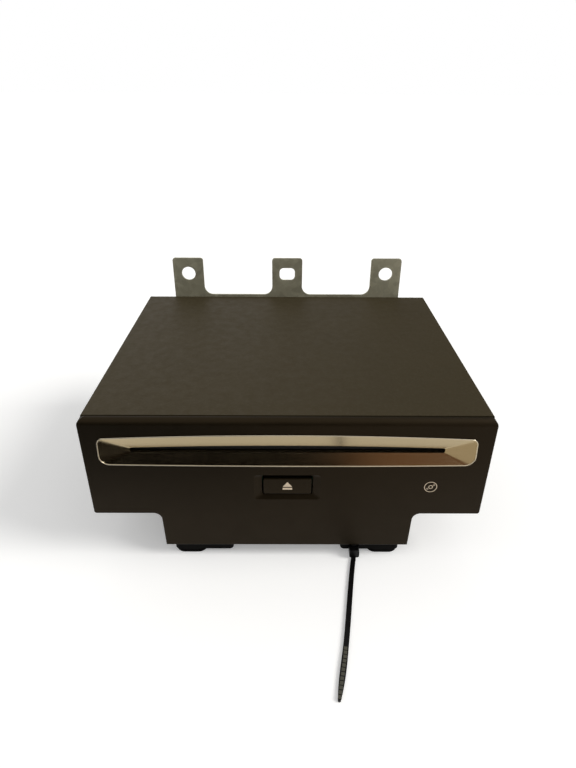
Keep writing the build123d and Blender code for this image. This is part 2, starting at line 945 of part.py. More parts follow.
# ---- Feet and cable tie
def foot_base(front, holds_tie):
    """Moulded base under the tray; the one that holds the tie has a tunnel across its top."""
    low_y = front
    body = block(base_inner_x, base_outer_x, low_y, low_y + base_length, foot_height, tray_floor_z)
    body = fillet(body.edges().filter_by(Axis.Z), 2.0)
    step_high_z = tray_floor_z + 1
    body -= block(
        base_inner_x - 1,
        base_outer_x + 1,
        low_y - 1,
        low_y + base_step,
        tray_floor_z - 0.9,
        step_high_z,
    )
    if holds_tie:
        half = tie_width / 2 + tie_play
        body -= block(
            tie_x - half,
            tie_x + half,
            low_y - 1,
            low_y + base_length + 1,
            tie_tunnel_z - tie_play,
            tie_tunnel_z + tie_sheet + tie_play,
        )
    return body


rear_base_y = tray_back_y - base_length - 4
foot_places = [(base_front_y, True), (rear_base_y, False)]
foot_mid_x = base_outer_x - foot_side / 2
foot_screws = [
    ((side * foot_mid_x, front + base_length / 2, tray_floor_z + tray_sheet), (0, 0, 1))
    for side in (-1, 1)
    for front, held in foot_places
]


def foot_bases():
    """Front and rear bases, a pair each."""
    bases = []
    for front, held in foot_places:
        right = foot_base(front, held)
        left = mirror(foot_base(front, False), about=Plane.YZ)
        bases += [right, left]
    for place, outward in foot_screws:
        bases = [base - screw_hole(place, outward) for base in bases]
    return bases


def rubber_feet():
    """Four soft square feet with round corners, under the bases."""
    feet = []
    for front in (base_front_y, rear_base_y + base_length - foot_side):
        middle = Pos(foot_mid_x, front + foot_side / 2, foot_height / 2)
        foot = middle * Box(foot_side, foot_side, foot_height)
        feet += mirrored(fillet(foot.edges().filter_by(Axis.Z), foot_round))
    return feet


tie_tip_radius = tie_width / 4
tie_tip_y = tie_tip_radius - tie_reach
tie_route = [(33.3, -0.5), (29.3, -23.0), (26.2, -42.4), (24.7, -51.1), (21.5, -67.1), (20.0, tie_tip_y)]


def cable_tie():
    """Nylon tie: a loop through the right front base, its head, and the straight tail along the floor."""
    low_y = base_front_y - tie_play
    high_y = base_front_y + base_length + tie_play
    low_z = foot_height - tie_play
    high_z = tie_tunnel_z
    half = tie_width / 2
    outer = block(
        tie_x - half,
        tie_x + half,
        low_y - tie_sheet,
        high_y + tie_sheet,
        low_z - tie_sheet,
        high_z + tie_sheet,
    )
    outer = fillet(outer.edges().filter_by(Axis.X), tie_sheet)
    inner = block(tie_x - half - 1, tie_x + half + 1, low_y, high_y, low_z, high_z)
    head = block(
        tie_x - tie_head_width / 2,
        tie_x + tie_head_width / 2,
        low_y - tie_head_depth,
        low_y - 0.1,
        low_z - 1.6,
        low_z - 1.6 + tie_head_height,
    )
    head = fillet(head.edges().filter_by(Axis.Y), 0.9)
    tail = plan_prism(tail_outline(), 0, tie_sheet)
    return outer - inner + head + tail


def tail_outline():
    """Plan of the tail: a gently bent strip with a tapered round tip."""
    left = []
    right = []
    last = len(tie_route) - 1
    for index, (x, y) in enumerate(tie_route):
        before = tie_route[max(0, index - 1)]
        after = tie_route[min(last, index + 1)]
        length = hypot(after[0] - before[0], after[1] - before[1])
        side_x = (after[1] - before[1]) / length
        side_y = -(after[0] - before[0]) / length
        half = tie_width / 2 if index < last else tie_tip_radius
        left.append((x + side_x * half, y + side_y * half))
        right.append((x - side_x * half, y - side_y * half))
    edge_left = Spline(*left)
    edge_right = Spline(*right)
    start = Line(left[0], right[0])
    tip_x, tip_y = tie_route[-1]
    tip = ThreePointArc(left[-1], (tip_x - 0.1, tip_y - tie_tip_radius), right[-1])
    return make_face(edge_left + tip + edge_right + start)


# ---- Mechanism frame
def mech_frame():
    """Steel frame that hangs on the dampers: floor, two side plates with tabs, and a back tie."""
    floor = block(-frame_outer, frame_outer, frame_front_y, frame_back_y, frame_floor_z, frame_floor_top)
    floor -= Pos(0, disc_centre_y, 0) * Cylinder(38, 200)
    body = floor
    for side in (-1, 1):
        low_x, high_x = sorted((side * frame_half, side * frame_outer))
        body += block(low_x, high_x, frame_front_y, frame_back_y, frame_floor_z, frame_high_z)
        deck_tabs = (
            (deck_front_y, deck_front_y + deck_front_tab),
            (deck_back_y - deck_back_tab, deck_back_y),
        )
        for y0, y1 in deck_tabs:
            low_x, high_x = sorted((side * (frame_half - 8), side * (frame_half + 0.2)))
            body += block(low_x, high_x, y0, y1, deck_z - frame_sheet, deck_z)
        for y0, y1 in ((guide_front_y, guide_back_y), (frame_back_y - 16, frame_back_y)):
            low_x, high_x = sorted((side * (frame_half - 6), side * (frame_half + 0.2)))
            body += block(low_x, high_x, y0, y1, frame_high_z - frame_sheet, frame_high_z)
        bush_hole = bush_radius
        body -= rod_x(side * frame_half - 3, side * frame_half + 3, roller_y, roller_z, bush_hole)
        for y in (damper_front_y, damper_back_y):
            body -= rod_x(side * frame_half - 3, side * frame_half + 3, y, damper_z, 1.6)
    body -= rod_x(-frame_outer - 1, -frame_half + 1, motor_y, motor_z, 2.2)
    body -= rod_x(-frame_outer - 1, -frame_half + 1, idler_y, idler_z, idler_pin_radius)
    for x, y in lift_places:
        body -= rod_z_bar(x, y, frame_floor_z - 1, frame_floor_top + 1, lift_foot_radius + running_gap)
    for place, outward in deck_screws + guide_screws:
        body -= screw_hole(place, outward)
    return body


bush_radius = 2.6
lift_foot_radius = 1.6


def dampers():
    """Four oil-filled rubber dampers between the frame's sides and the chassis walls."""
    found = []
    for y in (damper_front_y, damper_back_y):
        bulb = rod_x(frame_outer, chassis_inner, y, damper_z, damper_radius)
        bulb = fillet(bulb.edges(), 1.2)
        neck = rod_x(frame_half - 1, frame_outer + 1, y, damper_z, 1.5)
        found += mirrored(bulb + neck)
    return found


# ---- Loading drive
roller_gear_radius = gear_module * roller_teeth / 2
idler_radius = gear_module * idler_teeth / 2
pinion_radius = gear_module * pinion_teeth / 2
pinion_to_idler = pinion_radius + idler_radius
idler_to_roller = idler_radius + roller_gear_radius
motor_to_roller = hypot(roller_y - motor_y, roller_z - motor_z)
along = (pinion_to_idler**2 - idler_to_roller**2 + motor_to_roller**2) / (2 * motor_to_roller)
aside = sqrt(pinion_to_idler**2 - along**2)
unit_y = (roller_y - motor_y) / motor_to_roller
unit_z = (roller_z - motor_z) / motor_to_roller
idler_y = motor_y + along * unit_y + aside * unit_z
idler_z = motor_z + along * unit_z - aside * unit_y
gear_high_x = -frame_outer - gear_side_gap
gear_low_x = gear_high_x - gear_width


def side_gear(y, z, teeth, bore, tooth_angle):
    """Gear outside the left side plate, its axis along x. Angles are counted from y towards z."""
    plane = Plane(origin=(gear_low_x, y, z), x_dir=(0, 1, 0), z_dir=(1, 0, 0))
    return plane * gear(gear_module, teeth, gear_width, bore, tooth_angle)


pinion_to_idler_angle = atan2(idler_z - motor_z, idler_y - motor_y)
idler_to_roller_angle = atan2(roller_z - idler_z, roller_y - idler_y)
pinion_tooth = pinion_to_idler_angle
idler_tooth = meshed_angle(pinion_tooth, pinion_teeth, idler_teeth, pinion_to_idler_angle)
roller_tooth = meshed_angle(idler_tooth, idler_teeth, roller_teeth, idler_to_roller_angle)


def load_roller():
    """Rubber roller, thinner in the middle, that drives the disc by its edges."""
    half = roller_half
    outline = Polygon(
        (-half, shaft_radius),
        (half, shaft_radius),
        (half, roller_radius),
        (0, roller_radius - roller_waist),
        (-half, roller_radius),
        align=None,
    )
    return Pos(0, roller_y, roller_z) * revolve(outline, Axis.X)


def roller_shaft():
    """Steel shaft of the roller, through both side plates."""
    return rod_x(gear_low_x - 0.3, frame_outer + 2.4, roller_y, roller_z, shaft_radius)


def roller_bushes():
    """Plain bushes in the side plates."""
    bushes = []
    for side in (-1, 1):
        low_x, high_x = sorted((side * (frame_half - 1), side * frame_outer))
        ring = rod_x(low_x, high_x, roller_y, roller_z, bush_radius - 0.02)
        flange_low, flange_high = sorted((side * (frame_half - 1.8), side * (frame_half - 0.02)))
        ring += rod_x(flange_low, flange_high, roller_y, roller_z, bush_radius + 1)
        bore_radius = shaft_radius + running_gap
        bushes.append(ring - rod_x(-chassis_half, chassis_half, roller_y, roller_z, bore_radius))
    return bushes


def roller_gear():
    """Gear pressed on the roller's shaft."""
    return side_gear(roller_y, roller_z, roller_teeth, shaft_radius, roller_tooth)


def idler_gear():
    """Gear between the motor's pinion and the roller's gear."""
    return side_gear(idler_y, idler_z, idler_teeth, idler_pin_radius + running_gap, idler_tooth)


def load_pinion():
    """Motor pinion with its shaft."""
    shaft = rod_x(gear_low_x - 0.3, -frame_half + 1.5, motor_y, motor_z, motor_shaft_radius)
    return side_gear(motor_y, motor_z, pinion_teeth, motor_shaft_radius, pinion_tooth) + shaft


def load_motor():
    """Small can motor on the inside of the left side plate."""
    can = rod_x(-frame_half, -frame_half + motor_length, motor_y, motor_z, motor_radius)
    can = fillet(can.edges(), 0.8)
    nose = rod_x(-frame_half - 0.8, -frame_half + 0.5, motor_y, motor_z, 2.0)
    bore = rod_x(-frame_half - 2, -frame_half + 3, motor_y, motor_z, motor_shaft_radius + running_gap)
    return can + nose - bore


def upper_guide():
    """Plate over the disc's way in, on the side plates' front tabs."""
    plate = block(
        -frame_outer,
        frame_outer,
        guide_front_y,
        guide_back_y,
        frame_high_z,
        frame_high_z + guide_sheet,
    )
    for side in (-1, 1):
        plate -= Pos(side * lever_x, lever_y - lever_reach + 1, frame_high_z) * Box(13, 7, 4)
        plate -= rod_z_bar(side * lever_x, lever_y, 0, 100, lever_pivot_radius)
    for place, outward in guide_screws[0:2] + guide_screws[4:6]:
        plate -= screw_hole(place, outward)
    return plate


lever_pivot_radius = 1.0


def sensor_lever(side):
    """Lever whose pin hangs into the disc's way and is pushed outward by the disc's edge."""
    z0 = frame_high_z + guide_sheet + 0.2
    x = side * lever_x
    arm = block(x - 1.6, x + 1.6, lever_y - lever_reach, lever_y, z0, z0 + lever_sheet)
    arm += rod_z_bar(x, lever_y, z0, z0 + lever_sheet, 3)
    arm += rod_z_bar(x, lever_y - lever_reach, z0, z0 + lever_sheet, 1.8)
    arm += rod_z_bar(x, lever_y - lever_reach, disc_low_z, z0 + 0.2, lever_pin_radius)
    return arm - rod_z_bar(x, lever_y, 0, 100, lever_pivot_radius + running_gap)


def pivot_pins():
    """Headed pins: the idler's on the left side plate and the two sensor levers' on the guide plate."""
    idler = rod_x(gear_low_x - 0.2, -frame_half, idler_y, idler_z, idler_pin_radius)
    idler += rod_x(gear_low_x - 0.9, gear_low_x - 0.2, idler_y, idler_z, idler_pin_radius + 0.8)
    head_z = frame_high_z + guide_sheet + 0.2 + lever_sheet + 0.1
    lever = rod_z_bar(lever_x, lever_y, frame_high_z, head_z, lever_pivot_radius)
    lever += rod_z_bar(lever_x, lever_y, head_z, head_z + 0.6, lever_pivot_radius + 0.9)
    return [idler] + mirrored(lever)


# ---- Playing deck
def traverse_deck():
    """Steel deck across the frame that carries the spindle and the pickup's guides."""
    plate = block(-frame_half + 0.2, frame_half - 0.2, deck_front_y, deck_back_y, deck_z, deck_z + deck_sheet)
    plate -= block(
        deck_window_low_x,
        deck_window_high_x,
        disc_centre_y - sled_half_depth - 1.5,
        disc_centre_y + sled_half_depth + 1.5,
        0,
        100,
    )
    plate -= rod_z_bar(0, disc_centre_y, 0, 100, spindle_hole)
    for x in (-60, -36):
        plate -= Pos(x, disc_centre_y, deck_z) * Box(16, 30, 6)
    for place, outward in deck_screws:
        plate -= screw_hole(place, outward)
    return plate


spindle_hole = 3.0
spindle_radius = 1.0


def spindle_motor():
    """Flat motor under the deck."""
    can = rod_z_bar(0, disc_centre_y, deck_z - spindle_motor_height, deck_z, spindle_motor_radius)
    can = fillet(can.edges().group_by(Axis.Z)[0], 0.8)
    return can - rod_z_bar(0, disc_centre_y, deck_z - 2.5, deck_z + 1, spindle_radius + running_gap)


def turntable():
    """Hub that centres and carries the disc, with its spindle."""
    hub = rod_z_bar(0, disc_centre_y, disc_low_z - 2.2, disc_low_z, turntable_radius)
    place = Pos(0, disc_centre_y, disc_low_z + cone_height / 2)
    cone = place * Cone(cone_radius, cone_radius - 1.4, cone_height)
    spindle = rod_z_bar(0, disc_centre_y, deck_z - 2.2, disc_low_z - 1, spindle_radius)
    groove = rod_z_bar(0, disc_centre_y, disc_low_z - pad_sink, disc_low_z + 1, turntable_radius - pad_rim)
    groove -= rod_z_bar(0, disc_centre_y, 0, 100, turntable_radius - pad_rim - pad_width)
    return hub - groove + cone + spindle


pad_sink = 0.5
pad_rim = 0.6
pad_width = 2.4


def turntable_pad():
    """Rubber ring let into the turntable's rim."""
    ring = rod_z_bar(0, disc_centre_y, disc_low_z - pad_sink, disc_low_z + 0.1, turntable_radius - pad_rim)
    return ring - rod_z_bar(0, disc_centre_y, 0, 100, turntable_radius - pad_rim - pad_width)


def guide_rods():
    """Two polished rods that the sled slides on, in end blocks under the deck."""
    rods = []
    for side in (-1, 1):
        y = disc_centre_y + side * rod_offset
        rods.append(rod_x(deck_window_low_x - 1.5, deck_window_high_x + 2.5, y, rod_z, rod_radius))
    return rods


def rod_blocks():
    """Four clips under the deck that hold the rods' ends."""
    clips = []
    for side in (-1, 1):
        y = disc_centre_y + side * rod_offset
        for x in (deck_window_low_x - 1.3, deck_window_high_x + 1.7):
            clip = block(x - 1.1, x + 0.9, y - 2.4, y + 2.4, rod_z - 2, deck_z)
            clips.append(clip - rod_x(x - 3, x + 3, y, rod_z, rod_radius))
    return clips


def pickup_sled():
    """Die-cast sled on the two rods, with a finger that follows the lead screw."""
    x0 = sled_start_x - sled_length / 2
    x1 = sled_start_x + sled_length / 2
    low = rod_z - 2.6
    y0 = disc_centre_y - sled_half_depth
    y1 = disc_centre_y + sled_half_depth
    body = block(x0, x1, y0, y1, low, low + sled_height)
    body = chamfer(body.edges().filter_by(Axis.Z), 1.5)
    finger_high = lead_z - lead_radius - 0.15
    finger_low = finger_high - 0.6
    body += block(
        sled_start_x - 2,
        sled_start_x + 2,
        disc_centre_y + sled_half_depth - 1.5,
        disc_centre_y + sled_half_depth + 1,
        finger_low,
        rod_z + 1,
    )
    body += block(
        sled_start_x - 2,
        sled_start_x + 2,
        disc_centre_y + sled_half_depth,
        lead_y + 1,
        finger_low,
        finger_high,
    )
    body -= block(x0 + 3, x1 - 3, disc_centre_y - 8, disc_centre_y + 8, low - 1, low + 2)
    for side in (-1, 1):
        y = disc_centre_y + side * rod_offset
        body -= rod_x(x0 - 1, x1 + 1, y, rod_z, rod_radius + running_gap)
    seat_low = low + sled_height - 1
    return body - rod_z_bar(sled_start_x, disc_centre_y, seat_low, seat_low + 2, lens_radius + running_gap)


def pickup_lens():
    """Small objective lens in the sled's top."""
    base = rod_z - 2.6 + sled_height - 1
    ring = rod_z_bar(sled_start_x, disc_centre_y, base, base + 1 + lens_height, lens_radius)
    dome_radius = lens_radius * 1.6
    rim_z = base + 1 + lens_height
    dome_z = rim_z - sqrt(dome_radius**2 - (lens_radius - 1) ** 2)
    dome = Pos(sled_start_x, disc_centre_y, dome_z) * Sphere(dome_radius)
    dome = dome & rod_z_bar(sled_start_x, disc_centre_y, rim_z - 0.2, base + 4, lens_radius - 1)
    return ring + dome


def lead_screw():
    """Threaded spindle that moves the sled."""
    length = lead_end_x - lead_start_x
    plane = Plane(origin=(lead_start_x, lead_y, lead_z), x_dir=(0, 1, 0), z_dir=(1, 0, 0))
    return plane * threaded_rod(lead_root, lead_radius, lead_pitch, length)


def sled_motor():
    """Small stepper on a hanger under the deck; the lead screw is its shaft."""
    x1 = lead_start_x + lead_pitch / 2 - 0.3
    can = rod_x(x1 - sled_motor_length, x1, lead_y, lead_z, sled_motor_radius)
    can = fillet(can.edges(), 0.4)
    bore = rod_x(lead_start_x - 0.3, x1 + 1, lead_y, lead_z, lead_root + running_gap)
    return can - bore


# ---- Clamp
def rear_bridge():
    """Plate across the side plates' rear tabs with the two ears of the clamp arm's hinge."""
    plate = block(
        -frame_outer,
        frame_outer,
        frame_back_y - 16,
        frame_back_y,
        frame_high_z,
        frame_high_z + guide_sheet,
    )
    for side in (-1, 1):
        ear_x = side * (arm_width / 2 + 1.6)
        low_z = frame_high_z + 0.5
        plate += block(ear_x - 0.8, ear_x + 0.8, arm_hinge_y - 4, arm_hinge_y + 4, low_z, arm_hinge_z + 3)
    for place, outward in guide_screws[2:4] + guide_screws[6:8]:
        plate -= screw_hole(place, outward)
    return plate - rod_x(-arm_width, arm_width, arm_hinge_y, arm_hinge_z, arm_pin_radius)


def clamp_pin():
    """Hinge pin of the clamp arm, held in the bridge's ears."""
    reach = arm_width / 2 + 3.2
    return rod_x(-reach, reach, arm_hinge_y, arm_hinge_z, arm_pin_radius)


arm_low_z = disc_high_z + clamp_gap + puck_height + 1.0


def clamp_arm():
    """Pressed arm from the rear hinge forward over the disc's centre."""
    half = arm_width / 2
    front = disc_centre_y - puck_radius + 2
    plate = block(-half, half, front, arm_hinge_y - 5, arm_low_z, arm_low_z + arm_sheet)
    plate = fillet(plate.edges().filter_by(Axis.Z).group_by(Axis.Y)[0], 6)
    for side in (-1, 1):
        low_x, high_x = sorted((side * (half - arm_sheet), side * half))
        plate += block(low_x, high_x, front + 12, arm_hinge_y + 3, arm_low_z, arm_low_z + 4)
    plate -= rod_z_bar(0, disc_centre_y, 0, 100, stem_radius + 0.4)
    return plate - rod_x(-arm_width, arm_width, arm_hinge_y, arm_hinge_z, arm_pin_radius + running_gap)


def clamp_puck():
    """Free-turning puck that holds the disc on the turntable: disc, stem and retaining cap."""
    low = disc_high_z + clamp_gap
    disc = rod_z_bar(0, disc_centre_y, low, low + puck_height, puck_radius)
    stem = rod_z_bar(0, disc_centre_y, low + puck_height - 0.2, arm_low_z + arm_sheet + 0.6, stem_radius)
    cap = rod_z_bar(0, disc_centre_y, arm_low_z + arm_sheet + 0.4, arm_low_z + arm_sheet + 1.4, cap_radius)
    bore = rod_z_bar(0, disc_centre_y, low - 1, low + puck_height - 0.4, puck_bore)
    return disc + stem + cap - bore


# ---- Disc stack and its lift
def disc_tray(index):
    """One thin tray, open towards the front, with an eye round each lift screw."""
    z0 = stack_low_z + stack_pitch * index
    ring = Circle(stack_radius)
    for x, y in lift_places:
        dx, dy = x, y - disc_centre_y
        ring += Pos(dx, dy) * Circle(lift_ear)
        angle = degrees(atan2(dy, dx))
        ring += Pos(dx * 0.88, dy * 0.88) * Rot(0, 0, angle) * Rectangle(18, 2 * lift_ear)
    ring -= Circle(stack_bore)
    ring -= Pos(0, -stack_radius) * Rectangle(44, 2 * stack_radius)
    for x, y in lift_places:
        ring -= Pos(x, y - disc_centre_y) * Circle(lift_crest + lift_clearance)
    return plan_prism(Pos(0, disc_centre_y) * ring, z0, z0 + stack_sheet)


def lift_screw(x, y):
    """Threaded post with its belt pulley, turning in the frame's floor."""
    start = belt_z + belt_width + 0.6
    post = Pos(x, y, start) * threaded_rod(lift_root, lift_crest, lift_pitch, lift_high_z - start)
    hub = rod_z_bar(x, y, belt_z, belt_z + belt_width, pulley_radius)
    low_flange = rod_z_bar(x, y, belt_z - 0.4, belt_z, pulley_flange)
    high_flange = rod_z_bar(x, y, belt_z + belt_width, belt_z + belt_width + 0.6, pulley_flange)
    neck = rod_z_bar(x, y, frame_floor_top + 0.1, belt_z, lift_root)
    foot = rod_z_bar(x, y, frame_floor_z + 0.1, frame_floor_top + 0.3, lift_foot_radius)
    return post + hub + low_flange + high_flange + neck + foot


lift_drive_x, lift_drive_y = lift_places[1]
lift_gear_radius = gear_module * lift_teeth / 2
lift_motor_reach = lift_gear_radius + pinion_radius
lift_motor_turn = radians(lift_motor_angle)
lift_motor_x = lift_drive_x + lift_motor_reach * cos(lift_motor_turn)
lift_motor_y = lift_drive_y + lift_motor_reach * sin(lift_motor_turn)
lift_gear_tooth = lift_motor_turn
lift_pinion_tooth = meshed_angle(lift_gear_tooth, lift_teeth, pinion_teeth, lift_motor_turn)
lift_bracket_z = belt_z + belt_width + 1.4


def lift_gear():
    """Wheel on the left rear lift screw, under its pulley."""
    wheel = gear(gear_module, lift_teeth, lift_gear_width, lift_root, lift_gear_tooth)
    return Pos(lift_drive_x, lift_drive_y, lift_gear_z) * wheel


def lift_pinion():
    """Pinion and shaft of the lift motor."""
    pinion = gear(gear_module, pinion_teeth, lift_gear_width, motor_shaft_radius, lift_pinion_tooth)
    shaft_high_z = lift_bracket_z + 2.5
    shaft = rod_z_bar(lift_motor_x, lift_motor_y, lift_gear_z - 0.2, shaft_high_z, motor_shaft_radius)
    return Pos(lift_motor_x, lift_motor_y, lift_gear_z) * pinion + shaft


def lift_bracket():
    """Bent plate on the frame's floor that carries the lift motor, behind the belt."""
    low_x = lift_motor_x - motor_radius - 1
    high_x = lift_motor_x + motor_radius + 2
    low_y = lift_drive_y + pulley_flange + belt_sheet + 0.6
    top = block(low_x, high_x, low_y, frame_back_y, lift_bracket_z - frame_sheet, lift_bracket_z)
    leg = block(low_x, high_x, frame_back_y - frame_sheet, frame_back_y, frame_floor_top, lift_bracket_z)
    return top + leg - rod_z_bar(lift_motor_x, lift_motor_y, lift_bracket_z - 2, lift_bracket_z + 1, 1.6)


def lift_motor():
    """Can motor that stands on the bracket."""
    high_z = lift_bracket_z + lift_motor_length
    can = rod_z_bar(lift_motor_x, lift_motor_y, lift_bracket_z, high_z, motor_radius)
    can = fillet(can.edges(), 0.8)
    bore_radius = motor_shaft_radius + running_gap
    return can - rod_z_bar(lift_motor_x, lift_motor_y, lift_bracket_z - 1, lift_bracket_z + 3, bore_radius)


def lift_belt():
    """Flat belt round the four pulleys, so that all lift screws turn together."""
    inner_radius = pulley_radius + belt_gap
    width = 2 * (lift_x + inner_radius)
    depth = 2 * (lift_y + inner_radius)
    inside = RectangleRounded(width, depth, inner_radius)
    outside = RectangleRounded(width + 2 * belt_sheet, depth + 2 * belt_sheet, inner_radius + belt_sheet)
    z0 = belt_z + 0.15
    return plan_prism(Pos(0, disc_centre_y) * (outside - inside), z0, belt_z + belt_width - 0.15)


# ---- Fasteners
def casing_screws():
    """Screws of the cover's sides, the bracket and the lower tray's flanges."""
    screws = [screw(place, outward) for place, outward in side_screws + bracket_screws]
    return screws + [screw(place, outward, length=short_screw_length) for place, outward in tray_screws]


def inner_screws():
    """Screws inside the casing: bezel, boards, feet, deck and guide plates."""
    long_places = bezel_screws + key_board_screws + board_screws + foot_screws + deck_screws
    screws = [screw(place, outward) for place, outward in long_places]
    return screws + [screw(place, outward, length=short_screw_length) for place, outward in guide_screws]


# ---- Write every node
save("top_cover", top_cover())
save("bottom_chassis", bottom_chassis())
save("front_bezel", front_bezel())
save("slot_trim", slot_trim())
save("disc_curtain", *disc_curtain())
save("eject_button", eject_button())
save("eject_symbol", *eject_symbol())
save("switch_plunger", switch_plunger())
save("eject_switch", eject_switch())
save("key_board", key_board())
save("rear_bracket", rear_bracket())
save("lower_tray", lower_tray())
save("main_board", main_board())
save("board_components", *board_chips(), *board_capacitors())
save("rear_connector", rear_connector())
save("connector_pins", *connector_pins())
save("ribbon_cable", ribbon_cable())
save("ribbon_sockets", *ribbon_sockets())
save("foot_bases", *foot_bases())
save("rubber_feet", *rubber_feet())
save("cable_tie", cable_tie())
save("mech_frame", mech_frame())
save("dampers", *dampers())
save("load_roller", load_roller())
save("roller_shaft", roller_shaft())
save("roller_bushes", *roller_bushes())
save("roller_gear", roller_gear())
save("idler_gear", idler_gear())
save("load_pinion", load_pinion())
save("load_motor", load_motor())
save("upper_guide", upper_guide())
save("sensor_lever_left", sensor_lever(-1))
save("sensor_lever_right", sensor_lever(1))
save("pivot_pins", *pivot_pins())
save("traverse_deck", traverse_deck())
save("spindle_motor", spindle_motor())
save("turntable", turntable())
save("turntable_pad", turntable_pad())
save("guide_rods", *guide_rods())
save("rod_blocks", *rod_blocks())
save("pickup_sled", pickup_sled())
save("pickup_lens", pickup_lens())
save("lead_screw", lead_screw())
save("sled_motor", sled_motor())
save("rear_bridge", rear_bridge())
save("clamp_pin", clamp_pin())
save("clamp_arm", clamp_arm())
save("clamp_puck", clamp_puck())
save("disc_trays", *[disc_tray(index) for index in range(tray_count)])
for number, (x, y) in enumerate(lift_places, 1):
    save(f"lift_screw_{number}", lift_screw(x, y))
save("lift_gear", lift_gear())
save("lift_pinion", lift_pinion())
save("lift_bracket", lift_bracket())
save("lift_motor", lift_motor())
save("lift_belt", lift_belt())
save("casing_screws", *casing_screws())
save("inner_screws", *inner_screws())
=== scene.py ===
"""Car CD changer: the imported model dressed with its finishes, its small fittings and a pale studio.

Every length in this file is in metres unless its name ends in _mm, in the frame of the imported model: x
runs to the viewer's right, y away from the viewer and z up from the floor.
"""
import logging
import math
from dataclasses import dataclass, field
from enum import Enum

import bmesh
import bpy
from mathutils import Matrix, Vector
from mathutils.bvhtree import BVHTree


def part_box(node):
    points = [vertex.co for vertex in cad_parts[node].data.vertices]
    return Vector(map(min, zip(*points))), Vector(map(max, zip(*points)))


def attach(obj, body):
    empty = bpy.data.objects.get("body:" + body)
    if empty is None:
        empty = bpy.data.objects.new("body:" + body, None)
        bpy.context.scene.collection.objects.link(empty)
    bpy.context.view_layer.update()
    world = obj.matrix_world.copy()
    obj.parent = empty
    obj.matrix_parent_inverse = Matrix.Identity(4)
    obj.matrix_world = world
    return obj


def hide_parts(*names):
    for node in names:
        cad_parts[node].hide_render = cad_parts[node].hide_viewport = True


log = logging.getLogger("changer")

Tree = bpy.types.NodeTree
Node = bpy.types.Node
Socket = bpy.types.NodeSocket
Material = bpy.types.Material
Piece = bpy.types.Object
Point = tuple[float, float, float]

MM = 0.001
FLOOR_Z = 0.0
WELD = 1e-6

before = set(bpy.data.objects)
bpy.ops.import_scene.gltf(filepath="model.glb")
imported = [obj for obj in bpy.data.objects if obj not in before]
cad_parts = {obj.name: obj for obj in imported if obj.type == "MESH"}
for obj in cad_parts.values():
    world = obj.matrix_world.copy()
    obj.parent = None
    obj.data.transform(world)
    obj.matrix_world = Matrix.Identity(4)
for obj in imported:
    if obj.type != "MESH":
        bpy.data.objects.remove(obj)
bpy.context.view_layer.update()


# ---- small helpers
def linear(colour: str) -> tuple[float, float, float, float]:
    """Turn an sRGB hex colour into linear values.

    Args:
        colour: six hex digits, with or without a leading hash.

    Returns:
        Red, green, blue and an alpha of one.
    """
    digits = colour.lstrip("#")
    shares = [int(digits[i:i + 2], 16) / 255 for i in (0, 2, 4)]
    return (*[c / 12.92 if c <= 0.04045 else ((c + 0.055) / 1.055) ** 2.4 for c in shares], 1.0)


def per_mm(size_mm: float) -> float:
    """Texture scale for a pattern whose features are this many millimetres across."""
    return 1.0 / (size_mm * MM)


def add(tree: Tree, kind: str, inputs: dict | None = None, **settings: object) -> Node:
    """Add a node with its settings, values and links.

    Args:
        tree: the tree that gets the node.
        kind: the node's type name.
        inputs: socket name or number to a value, or to an output socket that is linked to it.
        settings: the node's own properties.

    Returns:
        The new node.
    """
    node = tree.nodes.new(kind)
    for name, value in settings.items():
        setattr(node, name, value)
    for key, value in (inputs or {}).items():
        if isinstance(value, Socket):
            tree.links.new(value, node.inputs[key])
        else:
            node.inputs[key].default_value = value
    return node


def maths(tree: Tree, operation: str, *values: object, **settings: object) -> Socket:
    """The result of one arithmetic step."""
    return add(tree, "ShaderNodeMath", dict(enumerate(values)), operation=operation, **settings).outputs[0]


def ranged(tree: Tree, value: Socket, start: float, end: float,
           low: float = 0.3, high: float = 0.7) -> Socket:
    """Map a value that runs from low to high, such as a noise's middle part, to start and end."""
    return add(tree, "ShaderNodeMapRange", {
        "Value": value, "From Min": low, "From Max": high, "To Min": start, "To Max": end,
    }).outputs["Result"]


def mixed(tree: Tree, share: Socket, first: object, second: object) -> Socket:
    """One colour that passes into another by a share."""
    return add(tree, "ShaderNodeMix", {"Factor": share, 6: first, 7: second}, data_type="RGBA").outputs[2]


def toned(tree: Tree, colour: str, light: Socket) -> Socket:
    """A hex colour with its brightness multiplied."""
    return add(tree, "ShaderNodeHueSaturation", {"Color": linear(colour), "Value": light}).outputs["Color"]


def noise(tree: Tree, place: Socket, size_mm: float, detail: float, **more: float) -> Node:
    """Cloudy noise with features of a size and a number of octaves."""
    inputs = {"Vector": place, "Scale": per_mm(size_mm), "Detail": detail, **more}
    return add(tree, "ShaderNodeTexNoise", inputs)


def cells(tree: Tree, place: Socket, size_mm: float, feature: str = "F1", distance: str = "EUCLIDEAN",
          **more: float) -> Node:
    """Cells of a size, such as pebbles, flakes, pits and pads."""
    inputs = {"Vector": place, "Scale": per_mm(size_mm), **more}
    return add(tree, "ShaderNodeTexVoronoi", inputs, feature=feature, distance=distance)


